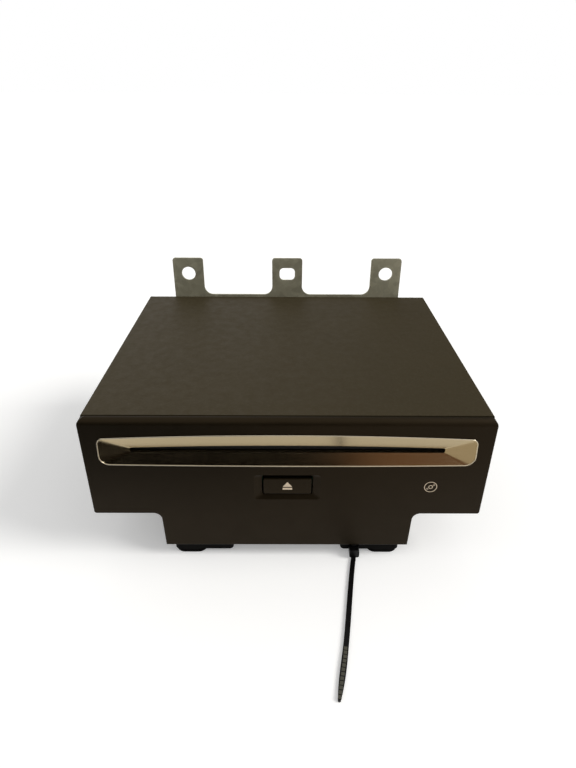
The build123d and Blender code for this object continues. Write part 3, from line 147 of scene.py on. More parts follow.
def lines(tree: Tree, place: Socket, stroke_mm: float, line_mm: float, detail: float,
          tilt: float = 0.0) -> Socket:
    """Fine lines along x, as brushing, drawing and handling leave them.

    Args:
        tree, place: the material's tree and its coordinates.
        stroke_mm: how long a line is.
        line_mm: how wide a line is.
        detail: octaves of the noise.
        tilt: the lines' turn about y, in radians.

    Returns:
        The lines' height, from nought to one.
    """
    drawn = add(tree, "ShaderNodeMapping", {
        "Vector": place, "Rotation": (0.0, tilt, 0.0),
        "Scale": (per_mm(stroke_mm), per_mm(line_mm), per_mm(line_mm)),
    })
    grain = {"Vector": drawn.outputs["Vector"], "Scale": 1.0, "Detail": detail}
    return add(tree, "ShaderNodeTexNoise", grain).outputs["Fac"]


def bare_material(name: str) -> Material:
    """A new material whose node tree is empty."""
    made = bpy.data.materials.new(name)
    made.use_nodes = True
    made.node_tree.nodes.clear()
    return made


def mesh_piece(name: str, points: list, faces: list, edges: tuple = ()) -> Piece:
    """Make a flat-shaded mesh object at the origin from points in the shared frame.

    Args:
        name: the piece's name.
        points: corner positions in metres.
        faces: corner numbers of each face, anticlockwise seen from outside.
        edges: corner numbers of loose edges.

    Returns:
        The new object, linked into the scene.
    """
    mesh = bpy.data.meshes.new(name)
    mesh.from_pydata([tuple(p) for p in points], edges, faces)
    mesh.update()
    mesh.shade_flat()
    made = bpy.data.objects.new(name, mesh)
    bpy.context.scene.collection.objects.link(made)
    return made


# ---- finishes
@dataclass(frozen=True)
class Finish:
    """A surface's material: what it is made of and how that was worked.

    The subclasses add the pattern that such a surface shows.
    """

    name: str
    colour: str
    roughness: float
    metallic: float = 0.0
    ior: float = 1.5
    specular: float = 0.5
    sheen_colour: str = "#ffffff"

    def material(self) -> Material:
        """The material, made on its first use."""
        made = bpy.data.materials.get(self.name)
        if made is None:
            made = bare_material(self.name)
            tree = made.node_tree
            place = add(tree, "ShaderNodeTexCoord").outputs["Object"]
            shader = add(tree, "ShaderNodeBsdfPrincipled", {
                "Base Color": linear(self.colour),
                "Roughness": self.roughness,
                "Metallic": self.metallic,
                "IOR": self.ior,
                "Specular IOR Level": self.specular,
                "Specular Tint": linear(self.sheen_colour),
            })
            self.detail(tree, place, shader)
            add(tree, "ShaderNodeOutputMaterial", {"Surface": shader.outputs["BSDF"]})
        return made

    def detail(self, tree: Tree, place: Socket, shader: Node) -> None:
        """Add the surface's pattern."""
        raise NotImplementedError

    def vary_colour(self, tree: Tree, place: Socket, shader: Node, size_mm: float, share: float,
                    detail: float = 3.0) -> Socket:
        """Let the shader's colour drift lighter and darker over patches of a size.

        Args:
            tree, place, shader: the material's tree, its coordinates and its shader.
            size_mm: how wide a patch is.
            share: how far the brightness drifts, as a share.
            detail: octaves of the noise.

        Returns:
            The varied colour.
        """
        cloud = noise(tree, place, size_mm, detail).outputs["Fac"]
        varied = toned(tree, self.colour, ranged(tree, cloud, 1.0 - share, 1.0 + share))
        self.paint(shader, Base_Color=varied)
        return varied

    def vary_roughness(self, tree: Tree, place: Socket, shader: Node, size_mm: float, spread: float) -> None:
        """Let the roughness drift by a spread either way over patches of a size."""
        cloud = noise(tree, place, size_mm, 4.0).outputs["Fac"]
        rough = ranged(tree, cloud, max(0.02, self.roughness - spread), min(1.0, self.roughness + spread))
        self.paint(shader, Roughness=rough)

    @staticmethod
    def paint(shader: Node, **values: Socket) -> None:
        """Link values to the shader's sockets; an underscore in a name stands for a space."""
        for name, value in values.items():
            shader.id_data.links.new(value, shader.inputs[name.replace("_", " ")])

    @staticmethod
    def raise_surface(tree: Tree, shader: Node, height: Socket, depth_mm: float) -> None:
        """Bump the surface by a height map whose full range is this deep."""
        bump = add(tree, "ShaderNodeBump", {"Height": height, "Distance": depth_mm * MM, "Strength": 1.0})
        tree.links.new(bump.outputs["Normal"], shader.inputs["Normal"])


@dataclass(frozen=True)
class PowderCoat(Finish):
    """Fine-textured coating baked on steel sheet: matt, with a pebbled skin and a trace of dust."""

    grain_mm: float = 0.55
    relief_mm: float = 0.018
    dust: float = 0.05

    def detail(self, tree: Tree, place: Socket, shader: Node) -> None:
        """Pebbled skin, cloudy tone, and a little dust where the surface faces up."""
        tone = self.vary_colour(tree, place, shader, 26.0, 0.03, 5.0)
        self.vary_roughness(tree, place, shader, 5.0, 0.06)
        facing = add(tree, "ShaderNodeNewGeometry").outputs["Normal"]
        split = add(tree, "ShaderNodeSeparateXYZ", {"Vector": facing})
        specks = noise(tree, place, 1.6, 8.0, Roughness=0.7).outputs["Fac"]
        laid = ranged(tree, specks, 0.0, self.dust, 0.48, 0.78)
        amount = maths(tree, "MULTIPLY", laid, split.outputs["Z"], use_clamp=True)
        self.paint(shader, Base_Color=mixed(tree, amount, tone, linear("#8f8879")))
        pebble = cells(tree, place, self.grain_mm, "SMOOTH_F1", Smoothness=0.8).outputs["Distance"]
        fine = noise(tree, place, self.grain_mm * 1.7, 5.0).outputs["Fac"]
        self.raise_surface(tree, shader, maths(tree, "ADD", pebble, fine), self.relief_mm)


@dataclass(frozen=True)
class MouldedPlastic(Finish):
    """Plastic from an etched steel mould: an even eroded grain that breaks the gloss into a soft sheen."""

    grain_mm: float = 0.45
    relief_mm: float = 0.02

    def detail(self, tree: Tree, place: Socket, shader: Node) -> None:
        """Eroded grain, faint flow tone and slightly polished patches."""
        self.vary_colour(tree, place, shader, 14.0, 0.05, 4.0)
        self.vary_roughness(tree, place, shader, 7.0, 0.04)
        grain = noise(tree, place, self.grain_mm, 6.0, Roughness=0.62).outputs["Fac"]
        self.raise_surface(tree, shader, grain, self.relief_mm)


@dataclass(frozen=True)
class BrushedMetal(Finish):
    """Aluminium brushed along its length: fine lines along x that draw its highlights out sideways."""

    line_mm: float = 0.16
    stroke_mm: float = 14.0
    relief_mm: float = 0.0012

    def detail(self, tree: Tree, place: Socket, shader: Node) -> None:
        """Long thin brush lines in the height, the roughness and a little in the tone."""
        brushed = lines(tree, place, self.stroke_mm, self.line_mm, 5.0)
        rough = ranged(tree, brushed, self.roughness - 0.04, self.roughness + 0.05)
        self.paint(shader, Roughness=rough)
        tone = toned(tree, self.colour, ranged(tree, brushed, 0.96, 1.03))
        self.paint(shader, Base_Color=tone)
        self.raise_surface(tree, shader, brushed, self.relief_mm)


@dataclass(frozen=True)
class ZincPlate(Finish):
    """Zinc-plated steel sheet: frozen crystal flakes under a cloudy yellowish passivation."""

    flake_mm: float = 3.2
    bend_mm: float = 2.5

    def detail(self, tree: Tree, place: Socket, shader: Node) -> None:
        """Flakes that differ in tone and gloss, clouds, and fine handling scratches."""
        cloud = noise(tree, place, 11.0, 5.0)
        bend = {0: cloud.outputs["Color"], 3: self.bend_mm * MM}
        warp = add(tree, "ShaderNodeVectorMath", bend, operation="SCALE").outputs["Vector"]
        bent = add(tree, "ShaderNodeVectorMath", {0: place, 1: warp}, operation="ADD").outputs["Vector"]
        flakes = cells(tree, bent, self.flake_mm).outputs["Color"]
        grey = add(tree, "ShaderNodeSeparateColor", {"Color": flakes}).outputs
        lit = toned(tree, self.colour, ranged(tree, grey["Red"], 0.88, 1.1, 0.0, 1.0))
        stain = ranged(tree, cloud.outputs["Fac"], 0.0, 0.35, 0.45, 0.75)
        self.paint(shader, Base_Color=mixed(tree, stain, lit, linear("#8c8672")))
        rough = ranged(tree, grey["Green"], self.roughness - 0.07, self.roughness + 0.09, 0.0, 1.0)
        self.paint(shader, Roughness=rough)
        self.raise_surface(tree, shader, lines(tree, place, 9.0, 0.3, 4.0, tilt=0.5), 0.004)


@dataclass(frozen=True)
class RolledSteel(Finish):
    """Rolled, drawn or ground metal: bright, with faint drawn lines and a clouded film of oil."""

    def detail(self, tree: Tree, place: Socket, shader: Node) -> None:
        """Drawn lines along x and clouds of oil."""
        self.vary_colour(tree, place, shader, 9.0, 0.07, 5.0)
        drawn = lines(tree, place, 6.0, 0.25, 4.0)
        rough = ranged(tree, drawn, max(0.05, self.roughness - 0.08), self.roughness + 0.1)
        self.paint(shader, Roughness=rough)
        self.raise_surface(tree, shader, drawn, 0.003)


@dataclass(frozen=True)
class SoftRubber(Finish):
    """Moulded black rubber: matt and slightly bloomed, with a fine pitted skin that holds dust."""

    def detail(self, tree: Tree, place: Socket, shader: Node) -> None:
        """Pits in the skin, pale bloom and a dull, uneven sheen."""
        self.vary_colour(tree, place, shader, 3.0, 0.14, 6.0)
        self.vary_roughness(tree, place, shader, 2.5, 0.06)
        pits = cells(tree, place, 0.5).outputs["Distance"]
        fine = noise(tree, place, 0.25, 4.0).outputs["Fac"]
        self.raise_surface(tree, shader, maths(tree, "MULTIPLY", pits, fine), 0.05)


@dataclass(frozen=True)
class PrintedInk(Finish):
    """Pad-printed or inlaid ink: opaque and flat, with a slightly uneven tone."""

    def detail(self, tree: Tree, place: Socket, shader: Node) -> None:
        """Tiny unevenness of the ink layer."""
        self.vary_colour(tree, place, shader, 0.9, 0.08, 5.0)
        self.raise_surface(tree, shader, noise(tree, place, 0.3, 3.0).outputs["Fac"], 0.006)


@dataclass(frozen=True)
class CircuitBoard(Finish):
    """Glass-fibre board under solder mask: copper tracks show as paler right-angled lines, pads as dots."""

    cell_mm: float = 5.2
    tracks: float = 5.0
    pad_pitch_mm: float = 2.54

    def detail(self, tree: Tree, place: Socket, shader: Node) -> None:
        """Tracks from square cells, and tinned pads, both a little raised."""
        squares = cells(tree, place, self.cell_mm, distance="CHEBYCHEV", Randomness=0.9).outputs["Distance"]
        wave = maths(tree, "FRACT", maths(tree, "MULTIPLY", squares, self.tracks))
        track = ranged(tree, wave, 0.0, 1.0, 0.45, 0.55)
        mask = mixed(tree, track, linear(self.colour), linear("#2f6b45"))
        dots = cells(tree, place, self.pad_pitch_mm, Randomness=0.35).outputs["Distance"]
        pad = maths(tree, "LESS_THAN", dots, 0.2)
        self.paint(shader, Base_Color=mixed(tree, pad, mask, linear("#b9bab4")))
        self.raise_surface(tree, shader, maths(tree, "MAXIMUM", track, pad), 0.035)


@dataclass(frozen=True)
class GearPlastic(Finish):
    """Natural acetal: milky, slightly waxy and translucent at its thin edges, with faint flow lines."""

    def detail(self, tree: Tree, place: Socket, shader: Node) -> None:
        """Milky depth and flow lines."""
        shader.inputs["Subsurface Weight"].default_value = 0.2
        shader.inputs["Subsurface Radius"].default_value = (0.8 * MM, 0.7 * MM, 0.5 * MM)
        self.vary_colour(tree, place, shader, 3.0, 0.04)
        self.vary_roughness(tree, place, shader, 1.5, 0.06)
        flow = add(tree, "ShaderNodeTexWave", {"Vector": place, "Scale": per_mm(4.0), "Distortion": 3.0})
        self.raise_surface(tree, shader, flow.outputs["Fac"], 0.01)


@dataclass(frozen=True)
class WoolFelt(Finish):
    """Pressed felt: matted fibres that stand up a little and catch light at grazing angles."""

    def detail(self, tree: Tree, place: Socket, shader: Node) -> None:
        """Matted fibres with a weak sheen."""
        shader.inputs["Sheen Weight"].default_value = 0.35
        shader.inputs["Sheen Roughness"].default_value = 0.6
        self.vary_colour(tree, place, shader, 0.8, 0.3, 8.0)
        fibre = noise(tree, place, 0.5, 9.0, Distortion=2.0).outputs["Fac"]
        self.raise_surface(tree, shader, fibre, 0.12)


@dataclass(frozen=True)
class CoatedGlass(Finish):
    """A moulded lens with a violet anti-reflection coating: clear, very smooth, with a hint of dust."""

    def detail(self, tree: Tree, place: Socket, shader: Node) -> None:
        """Clear body under a tinted coat."""
        shader.inputs["Transmission Weight"].default_value = 0.9
        shader.inputs["Coat Weight"].default_value = 0.6
        shader.inputs["Coat Tint"].default_value = linear("#7d6ad0")
        self.vary_roughness(tree, place, shader, 0.8, 0.02)
        self.vary_colour(tree, place, shader, 1.0, 0.03)


@dataclass(frozen=True)
class CableFilm(Finish):
    """Flat cable of polyester film: its tinned conductors show through as bright lines."""

    pitch_mm: float = 1.0

    def detail(self, tree: Tree, place: Socket, shader: Node) -> None:
        """Conductors across x, each a little raised."""
        across = add(tree, "ShaderNodeSeparateXYZ", {"Vector": place}).outputs["X"]
        part = maths(tree, "FRACT", maths(tree, "MULTIPLY", across, per_mm(self.pitch_mm)))
        line = ranged(tree, part, 0.0, 1.0, 0.42, 0.5)
        self.paint(shader, Base_Color=mixed(tree, line, linear(self.colour), linear("#a9a9a2")))
        self.vary_roughness(tree, place, shader, 4.0, 0.05)
        self.raise_surface(tree, shader, line, 0.03)


class Paint(Enum):
    """Every finish of the changer, by the material slot of the record that it belongs to."""

    # Pebbles too fine to count turn the wide top into a matt brown-black that warms a little in the light.
    cover_paint = PowderCoat("powder_coated_steel", "#352f21", 0.58, specular=0.17, sheen_colour="#ffdda6")
    # An eroded grain, so that the front is darker and softer in sheen than the cover behind it.
    bezel_plastic = MouldedPlastic("grained_abs_front", "#0f0c06", 0.46, specular=0.2, sheen_colour="#ffd9a8")
    # A trace glossier than the front, as if thumbs had polished it.
    key_plastic = MouldedPlastic("grained_abs_key", "#100d06", 0.42, specular=0.2, sheen_colour="#ffd9a8")
    # A flat warm cream, the one light spot on the black front.
    sign_print = PrintedInk("cream_ink", "#d6c3a8", 0.6)
    # Warm mirror facets whose brush lines smear what they reflect sideways.
    trim_metal = BrushedMetal("champagne_anodised_aluminium", "#ac9c7c", 0.2, 1.0)
    # Olive-grey flakes of uneven gloss, so that the tabs look plated and not painted.
    zinc_steel = ZincPlate("zinc_plated_steel", "#aaa791", 0.5, 0.6)
    # The cover's coating in a darker, finer skin.
    black_steel = PowderCoat("black_coated_steel", "#2a261e", 0.6, grain_mm=0.5)
    # Nearly no sheen, and a colour darkened to near black as painted shade, so that the bases sink into the
    # shadow under the skirt.
    foot_plastic = MouldedPlastic("moulded_polypropylene", "#030201", 0.55, specular=0.06)
    # Dull pitted black, darkened below real rubber as painted shade under the unit, that parts the pads from
    # the white floor.
    foot_rubber = SoftRubber("black_foot_rubber", "#050403", 0.78, specular=0.1)
    # Smooth and faintly waxy, with a thin highlight along the strap.
    tie_nylon = MouldedPlastic("black_nylon", "#060505", 0.42, ior=1.53, specular=0.2, grain_mm=0.8,
                               relief_mm=0.012)
    # Fibres that swallow the light in the slot.
    felt = WoolFelt("pressed_black_felt", "#0e0d0c", 0.95)
    # Green mask over tracks and tinned dots, read at once as electronics.
    board = CircuitBoard("solder_masked_board", "#1d4a2f", 0.35, ior=1.55)
    # A very fine grain, that keeps the chips flat and dull.
    chip = MouldedPlastic("moulded_epoxy", "#171717", 0.55, grain_mm=0.25)
    # A slightly coarser, browner black than the chips beside it.
    connector_plastic = MouldedPlastic("glass_filled_nylon", "#15130f", 0.5, grain_mm=0.35)
    # Small yellow glints in the socket.
    pin_brass = RolledSteel("tinned_brass", "#b39a5a", 0.25, 1.0)
    # Pale film with bright stripes, the lightest strip inside.
    cable_film = CableFilm("flat_cable_film", "#d8d4c6", 0.3, ior=1.6)
    # Cool bright sheet with drawn lines that show which way it was rolled.
    bright_steel = RolledSteel("ground_steel", "#a9a8a2", 0.22, 1.0)
    # A duller grey than the sheet round it, so that the cans stand out.
    motor_can = RolledSteel("drawn_steel_can", "#8f8d86", 0.34, 1.0)
    # Milky white with a soft edge, that marks what turns.
    gear_plastic = GearPlastic("natural_acetal", "#d9d4c4", 0.4, ior=1.48)
    # Brown-gold rings at the roller's ends.
    bush_brass = RolledSteel("sintered_bronze", "#a07c47", 0.4, 1.0)
    # Plain dark grain for guides, trays and the turntable.
    black_moulding = MouldedPlastic("black_polycarbonate", "#16150f", 0.45, ior=1.58)
    # A soft grey cast skin, between the steel and the black parts.
    sled_metal = RolledSteel("die_cast_zinc", "#86857f", 0.5, 1.0)
    # A violet gleam in the middle of the sled.
    lens_glass = CoatedGlass("coated_lens", "#dfe3f2", 0.04, ior=1.52)
    # Soft dark bulbs that tell that the frame floats.
    damper_rubber = SoftRubber("damper_rubber", "#1b1a17", 0.7)
    # The dullest of the rubbers, since it grips the disc.
    roller_rubber = SoftRubber("roller_rubber", "#232120", 0.82)
    # A thin line of satin black round the pulleys.
    belt_rubber = SoftRubber("belt_rubber", "#141312", 0.66)


# The teeth on the tie's end are coloured olive grey, lighter than the black strap.
RIBBED_END_NYLON = MouldedPlastic("olive_grey_ribbed_nylon", "#4b493f", 0.6, ior=1.53, specular=0.25, grain_mm=0.35,
                            relief_mm=0.05)
# A line of light that draws the trim's outline.
POLISHED_EDGE = BrushedMetal("polished_aluminium_edge", "#d8cdb6", 0.16, 1.0)


# ---- geometry trees
class GeometryTree:
    """A geometry node group with named inputs that is baked into a plain mesh."""

    def __init__(self, name: str, inputs: dict[str, float | int | Material]) -> None:
        """Start a tree.

        Args:
            name: the group's name.
            inputs: each named input with its value: a length, a count or a material.
        """
        self.group = bpy.data.node_groups.new(name, "GeometryNodeTree")
        self.group.interface.new_socket("Geometry", in_out="INPUT", socket_type="NodeSocketGeometry")
        self.values: dict[str, object] = {}
        for title, value in inputs.items():
            kind = "NodeSocketMaterial" if isinstance(value, Material) else (
                "NodeSocketInt" if isinstance(value, int) else "NodeSocketFloat")
            socket = self.group.interface.new_socket(title, in_out="INPUT", socket_type=kind)
            self.values[socket.identifier] = value
        self.group.interface.new_socket("Geometry", in_out="OUTPUT", socket_type="NodeSocketGeometry")
        self.inputs = self.group.nodes.new("NodeGroupInput").outputs

    def node(self, kind: str, inputs: dict | None = None, **settings: object) -> Node:
        """Add a node to this tree."""
        return add(self.group, kind, inputs, **settings)

    def maths(self, operation: str, *values: object) -> Socket:
        """The result of one arithmetic step."""
        return maths(self.group, operation, *values)

    def raised(self, geometry: Socket, height: object) -> Socket:
        """The geometry moved up along z."""
        step = self.node("ShaderNodeCombineXYZ", {"Z": height}).outputs[0]
        return self.node("GeometryNodeTransform", {"Geometry": geometry, "Translation": step}).outputs[0]

    def joined(self, parts: list[Socket]) -> Socket:
        """The parts as one geometry."""
        join = self.node("GeometryNodeJoinGeometry")
        for part in parts:
            self.group.links.new(part, join.inputs[0])
        return join.outputs[0]

    def end(self, geometry: Socket) -> None:
        """Close the tree: real geometry with the finish on it."""
        real = self.node("GeometryNodeRealizeInstances", {0: geometry}).outputs[0]
        dressed = self.node("GeometryNodeSetMaterial", {"Geometry": real, "Material": self.inputs["Finish"]})
        out = self.group.nodes.new("NodeGroupOutput")
        self.group.links.new(dressed.outputs[0], out.inputs[0])

    def bake(self, host: Piece, name: str) -> Piece:
        """Run the tree on a host mesh and keep the result.

        Args:
            host: the object whose mesh feeds the tree; it is removed.
            name: the name of the made piece.

        Returns:
            A plain mesh object at the origin.
        """
        modifier = host.modifiers.new("tree", "NODES")
        modifier.node_group = self.group
        for identifier, value in self.values.items():
            modifier[identifier] = value
        seen = host.evaluated_get(bpy.context.evaluated_depsgraph_get())
        mesh = bpy.data.meshes.new_from_object(seen)
        mesh.name = name
        made = bpy.data.objects.new(name, mesh)
        bpy.context.scene.collection.objects.link(made)
        bpy.data.objects.remove(host)
        return made


# ---- the sub-assemblies
@dataclass
class Assembly:
    """A group of pieces: the model's own nodes by finish, and the pieces that are added to them."""

    nodes: dict[Paint, tuple[str, ...]] = field(default_factory=dict)

    def dress(self) -> list[Piece]:
        """Give each of the group's nodes its finish."""
        dressed = []
        for paint, names in self.nodes.items():
            for name in names:
                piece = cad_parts[name]
                piece.data.materials.clear()
                piece.data.materials.append(paint.value.material())
                dressed.append(piece)
        return dressed

    def build(self) -> list[Piece]:
        """Make the group's added pieces; most groups have none."""
        return []

    def add_piece(self, piece: Piece, paint: Paint, body: str = "casing") -> Piece:
        """Finish an added piece and let it ride on a body."""
        if not piece.data.materials:
            piece.data.materials.append(paint.value.material())
        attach(piece, body)
        return piece


def welded(node: str) -> bmesh.types.BMesh:
    """A working copy of a node's mesh with its double corners welded."""
    copy = bmesh.new()
    copy.from_mesh(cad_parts[node].data)
    bmesh.ops.remove_doubles(copy, verts=copy.verts, dist=WELD)
    copy.verts.ensure_lookup_table()
    return copy


def islands(node: str) -> list[list[Vector]]:
    """Corner positions of each separate lump of a node's mesh."""
    lump = welded(node)
    seen: set[int] = set()
    found = []
    for start in lump.verts:
        if start.index in seen:
            continue
        seen.add(start.index)
        queue, group = [start], []
        while queue:
            corner = queue.pop()
            group.append(corner.co.copy())
            for edge in corner.link_edges:
                other = edge.other_vert(corner)
                if other.index not in seen:
                    seen.add(other.index)
                    queue.append(other)
        found.append(group)
    lump.free()
    return found


def span(corners: list[Vector]) -> tuple[Vector, Vector]:
    """Lowest and highest corner of the box round some points."""
    low, high = [Vector([pick(c[i] for c in corners) for i in range(3)]) for pick in (min, max)]
    return low, high


def places_piece(name: str, places: list[Vector], directions: dict[str, list[Vector]]) -> Piece:
    """A host of loose points for a geometry tree.

    Args:
        name: the host's name.
        places: where its points are.
        directions: each named attribute with one vector for every point.

    Returns:
        The host object.
    """
    host = mesh_piece(name, places, [])
    for title, values in directions.items():
        data = host.data.attributes.new(title, "FLOAT_VECTOR", "POINT").data
        data.foreach_set("vector", [x for v in values for x in v])
    return host


@dataclass
class Fasteners(Assembly):
    """Cross-recessed pan screws, at the places and with the sizes of the model's plain ones."""

    head_radius: float = 2.4 * MM
    head_height: float = 1.2 * MM
    shank_radius: float = 1.3 * MM
    shank_length: float = 4.0 * MM
    recess_width: float = 0.62 * MM
    recess_length: float = 2.5 * MM
    recess_depth: float = 0.75 * MM
    head_sides: int = 28
    shank_sides: int = 20
    weld: float = 0.01 * MM
    end_depth: float = 0.3 * MM

    def tree(self) -> GeometryTree:
        """Screws on the host's corners, turned by its outward attribute."""
        t = GeometryTree("pan_screws", {
            "Head Radius": self.head_radius, "Head Height": self.head_height,
            "Shank Radius": self.shank_radius, "Shank Length": self.shank_length,
            "Recess Width": self.recess_width, "Recess Length": self.recess_length,
            "Recess Depth": self.recess_depth, "Finish": Paint.bright_steel.value.material(),
        })
        at = t.inputs
        rings = ((1.0, 0.0), (1.0, 0.42), (0.9, 0.72), (0.7, 0.91), (0.42, 1.0))
        slices = []
        for (r0, h0), (r1, h1) in zip(rings, rings[1:]):
            ring = t.node("GeometryNodeMeshCone", {
                "Vertices": self.head_sides, "Depth": t.maths("MULTIPLY", at["Head Height"], h1 - h0),
                "Radius Bottom": t.maths("MULTIPLY", at["Head Radius"], r0),
                "Radius Top": t.maths("MULTIPLY", at["Head Radius"], r1),
            }, fill_type="NONE")
            slices.append(t.raised(ring.outputs["Mesh"], t.maths("MULTIPLY", at["Head Height"], h0)))
        for radius, height in (rings[0], rings[-1]):
            cap = t.node("GeometryNodeMeshCircle", {
                "Vertices": self.head_sides, "Radius": t.maths("MULTIPLY", at["Head Radius"], radius),
            }, fill_type="NGON")
            slices.append(t.raised(cap.outputs["Mesh"], t.maths("MULTIPLY", at["Head Height"], height)))
        head = t.node("GeometryNodeMergeByDistance", {"Geometry": t.joined(slices), "Distance": self.weld})
        cut = t.node("GeometryNodeMeshBoolean", {"Mesh 1": head.outputs[0]}, operation="DIFFERENCE",
                     solver="EXACT")
        long, wide = at["Recess Length"], at["Recess Width"]
        for along_x, along_y in ((long, wide), (wide, long)):
            size = t.node("ShaderNodeCombineXYZ", {
                "X": along_x, "Y": along_y, "Z": t.maths("MULTIPLY", at["Recess Depth"], 2.0),
            })
            bar = t.node("GeometryNodeMeshCube", {"Size": size.outputs[0]})
            t.group.links.new(t.raised(bar.outputs["Mesh"], at["Head Height"]), cut.inputs["Mesh 2"])
        shank = t.node("GeometryNodeMeshCylinder", {
            "Vertices": self.shank_sides, "Radius": at["Shank Radius"], "Depth": at["Shank Length"],
        })
        low = t.raised(shank.outputs["Mesh"], t.maths("MULTIPLY", at["Shank Length"], -0.5))
        facing = t.node("GeometryNodeInputNamedAttribute", {"Name": "outward"}, data_type="FLOAT_VECTOR")
        turned = t.node("FunctionNodeAlignRotationToVector", {"Vector": facing.outputs[0]}, axis="Z")
        placed = t.node("GeometryNodeInstanceOnPoints", {
            "Points": at["Geometry"], "Instance": t.joined([cut.outputs["Mesh"], low]),
            "Rotation": turned.outputs[0],
        })
        t.end(placed.outputs[0])
        return t

    def build(self) -> list[Piece]:
        """One piece of screws for each of the model's two screw nodes."""
        tree = self.tree()
        made = []
        for node in ("casing_screws", "inner_screws"):
            seats, outward = zip(*[self.seat(corners) for corners in islands(node)])
            piece = tree.bake(places_piece(node + "_places", seats, {"outward": outward}), node + "_detailed")
            piece.data.shade_flat()
            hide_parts(node)
            made.append(self.add_piece(piece, Paint.bright_steel))
        return made

    def seat(self, corners: list[Vector]) -> tuple[Vector, Vector]:
        """Where a plain screw's head sits and which way it faces: its wider end is the head."""
        low, high = span(corners)
        centre = (low + high) / 2
        reach = max(range(3), key=lambda i: high[i] - low[i])
        ends = []
        for side in (low, high):
            near = [c for c in corners if abs(c[reach] - side[reach]) < self.end_depth]
            ends.append(max(math.hypot(*[c[i] - centre[i] for i in range(3) if i != reach]) for c in near))
        sign = 1 if ends[1] > ends[0] else -1
        outward = Vector((0, 0, 0))
        outward[reach] = sign
        centre[reach] = (high if sign > 0 else low)[reach] - sign * self.head_height
        return centre, outward


@dataclass
class Front(Assembly):
    """Moulded front with its metal slot trim, the felt behind it and one small printed disc sign."""

    sign_x: float = 66.2 * MM
    sign_z: float = 43.7 * MM
    sign_radius: float = 3.0 * MM
    line: float = 0.32 * MM
    print_height: float = 0.02 * MM
    bead_radius: float = 0.26 * MM
    wall_slope: float = 0.05
    hub_radius: float = 0.72 * MM
    reflection_radii: tuple[float, ...] = (1.45 * MM, 1.95 * MM)
    reflection_line: float = 0.2 * MM
    reflection_turns: tuple[float, ...] = (38, 218)
    reflection_half: float = 17

    def build(self) -> list[Piece]:
        """The bright bead round the trim and the printed sign."""
        return [self.bead(), self.sign()]

    def bead(self) -> Piece:
        """A round bead on the trim's rim, along the outer edge of its front."""
        front_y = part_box("slot_trim")[0].y
        shell = welded("slot_trim")
        inward: dict[int, Vector] = {}
        rim = []
        for edge in shell.edges:
            walls = [f for f in edge.link_faces if abs(f.normal.y) < self.wall_slope]
            at_front = all(abs(v.co.y - front_y) < WELD for v in edge.verts)
            if at_front and 0 < len(walls) < len(edge.link_faces):
                rim.append(edge)
                for corner in edge.verts:
                    inward.setdefault(corner.index, Vector()).__isub__(walls[0].normal)
        numbers = {index: k for k, index in enumerate(inward)}
        points = [shell.verts[i].co + step.normalized() * self.bead_radius for i, step in inward.items()]
        edges = [tuple(numbers[v.index] for v in edge.verts) for edge in rim]
        shell.free()
        tree = GeometryTree("trim_bead", {
            "Bead Radius": self.bead_radius, "Sides": 10, "Finish": POLISHED_EDGE.material(),
        })
        path = tree.node("GeometryNodeMeshToCurve", {0: tree.inputs["Geometry"]})
        ring = tree.node("GeometryNodeCurvePrimitiveCircle", {
            "Resolution": tree.inputs["Sides"], "Radius": tree.inputs["Bead Radius"],
        })
        both = {"Curve": path.outputs[0], "Profile Curve": ring.outputs[0]}
        tube = tree.node("GeometryNodeCurveToMesh", both)
        smooth = tree.node("GeometryNodeSetShadeSmooth", {0: tube.outputs[0]})
        tree.end(smooth.outputs[0])
        bead = tree.bake(mesh_piece("bead_path", points, [], edges=tuple(edges)), "trim_bead")
        return self.add_piece(bead, Paint.trim_metal)

    def sign(self) -> Piece:
        """The printed sign: a plain disc with its hub and two reflections."""
        face_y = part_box("front_bezel")[0].y
        points: list[Point] = []
        faces: list[tuple[int, ...]] = []

        def arc(inner: float, outer: float, start: float, end: float, steps: int) -> None:
            """Add one printed arc between two radii and two angles in degrees."""
            count = steps if end - start >= 360 else steps + 1
            first = len(points)
            for k in range(count):
                turn = math.radians(start + (end - start) * k / steps)
                for radius in (inner, outer):
                    points.append((
                        self.sign_x + radius * math.cos(turn),
                        face_y - self.print_height,
                        self.sign_z + radius * math.sin(turn),
                    ))
            for k in range(steps):
                a = first + 2 * k
                b = first + 2 * ((k + 1) % count)
                faces.append((a, a + 1, b + 1, b))

        arc(self.sign_radius - self.line, self.sign_radius, 0, 360, 64)
        arc(self.hub_radius, self.hub_radius + self.line, 0, 360, 32)
        half = self.reflection_half
        for turn in self.reflection_turns:
            for radius in self.reflection_radii:
                arc(radius, radius + self.reflection_line, turn - half, turn + half, 10)
        return self.add_piece(mesh_piece("printed_disc_sign", points, faces), Paint.sign_print)


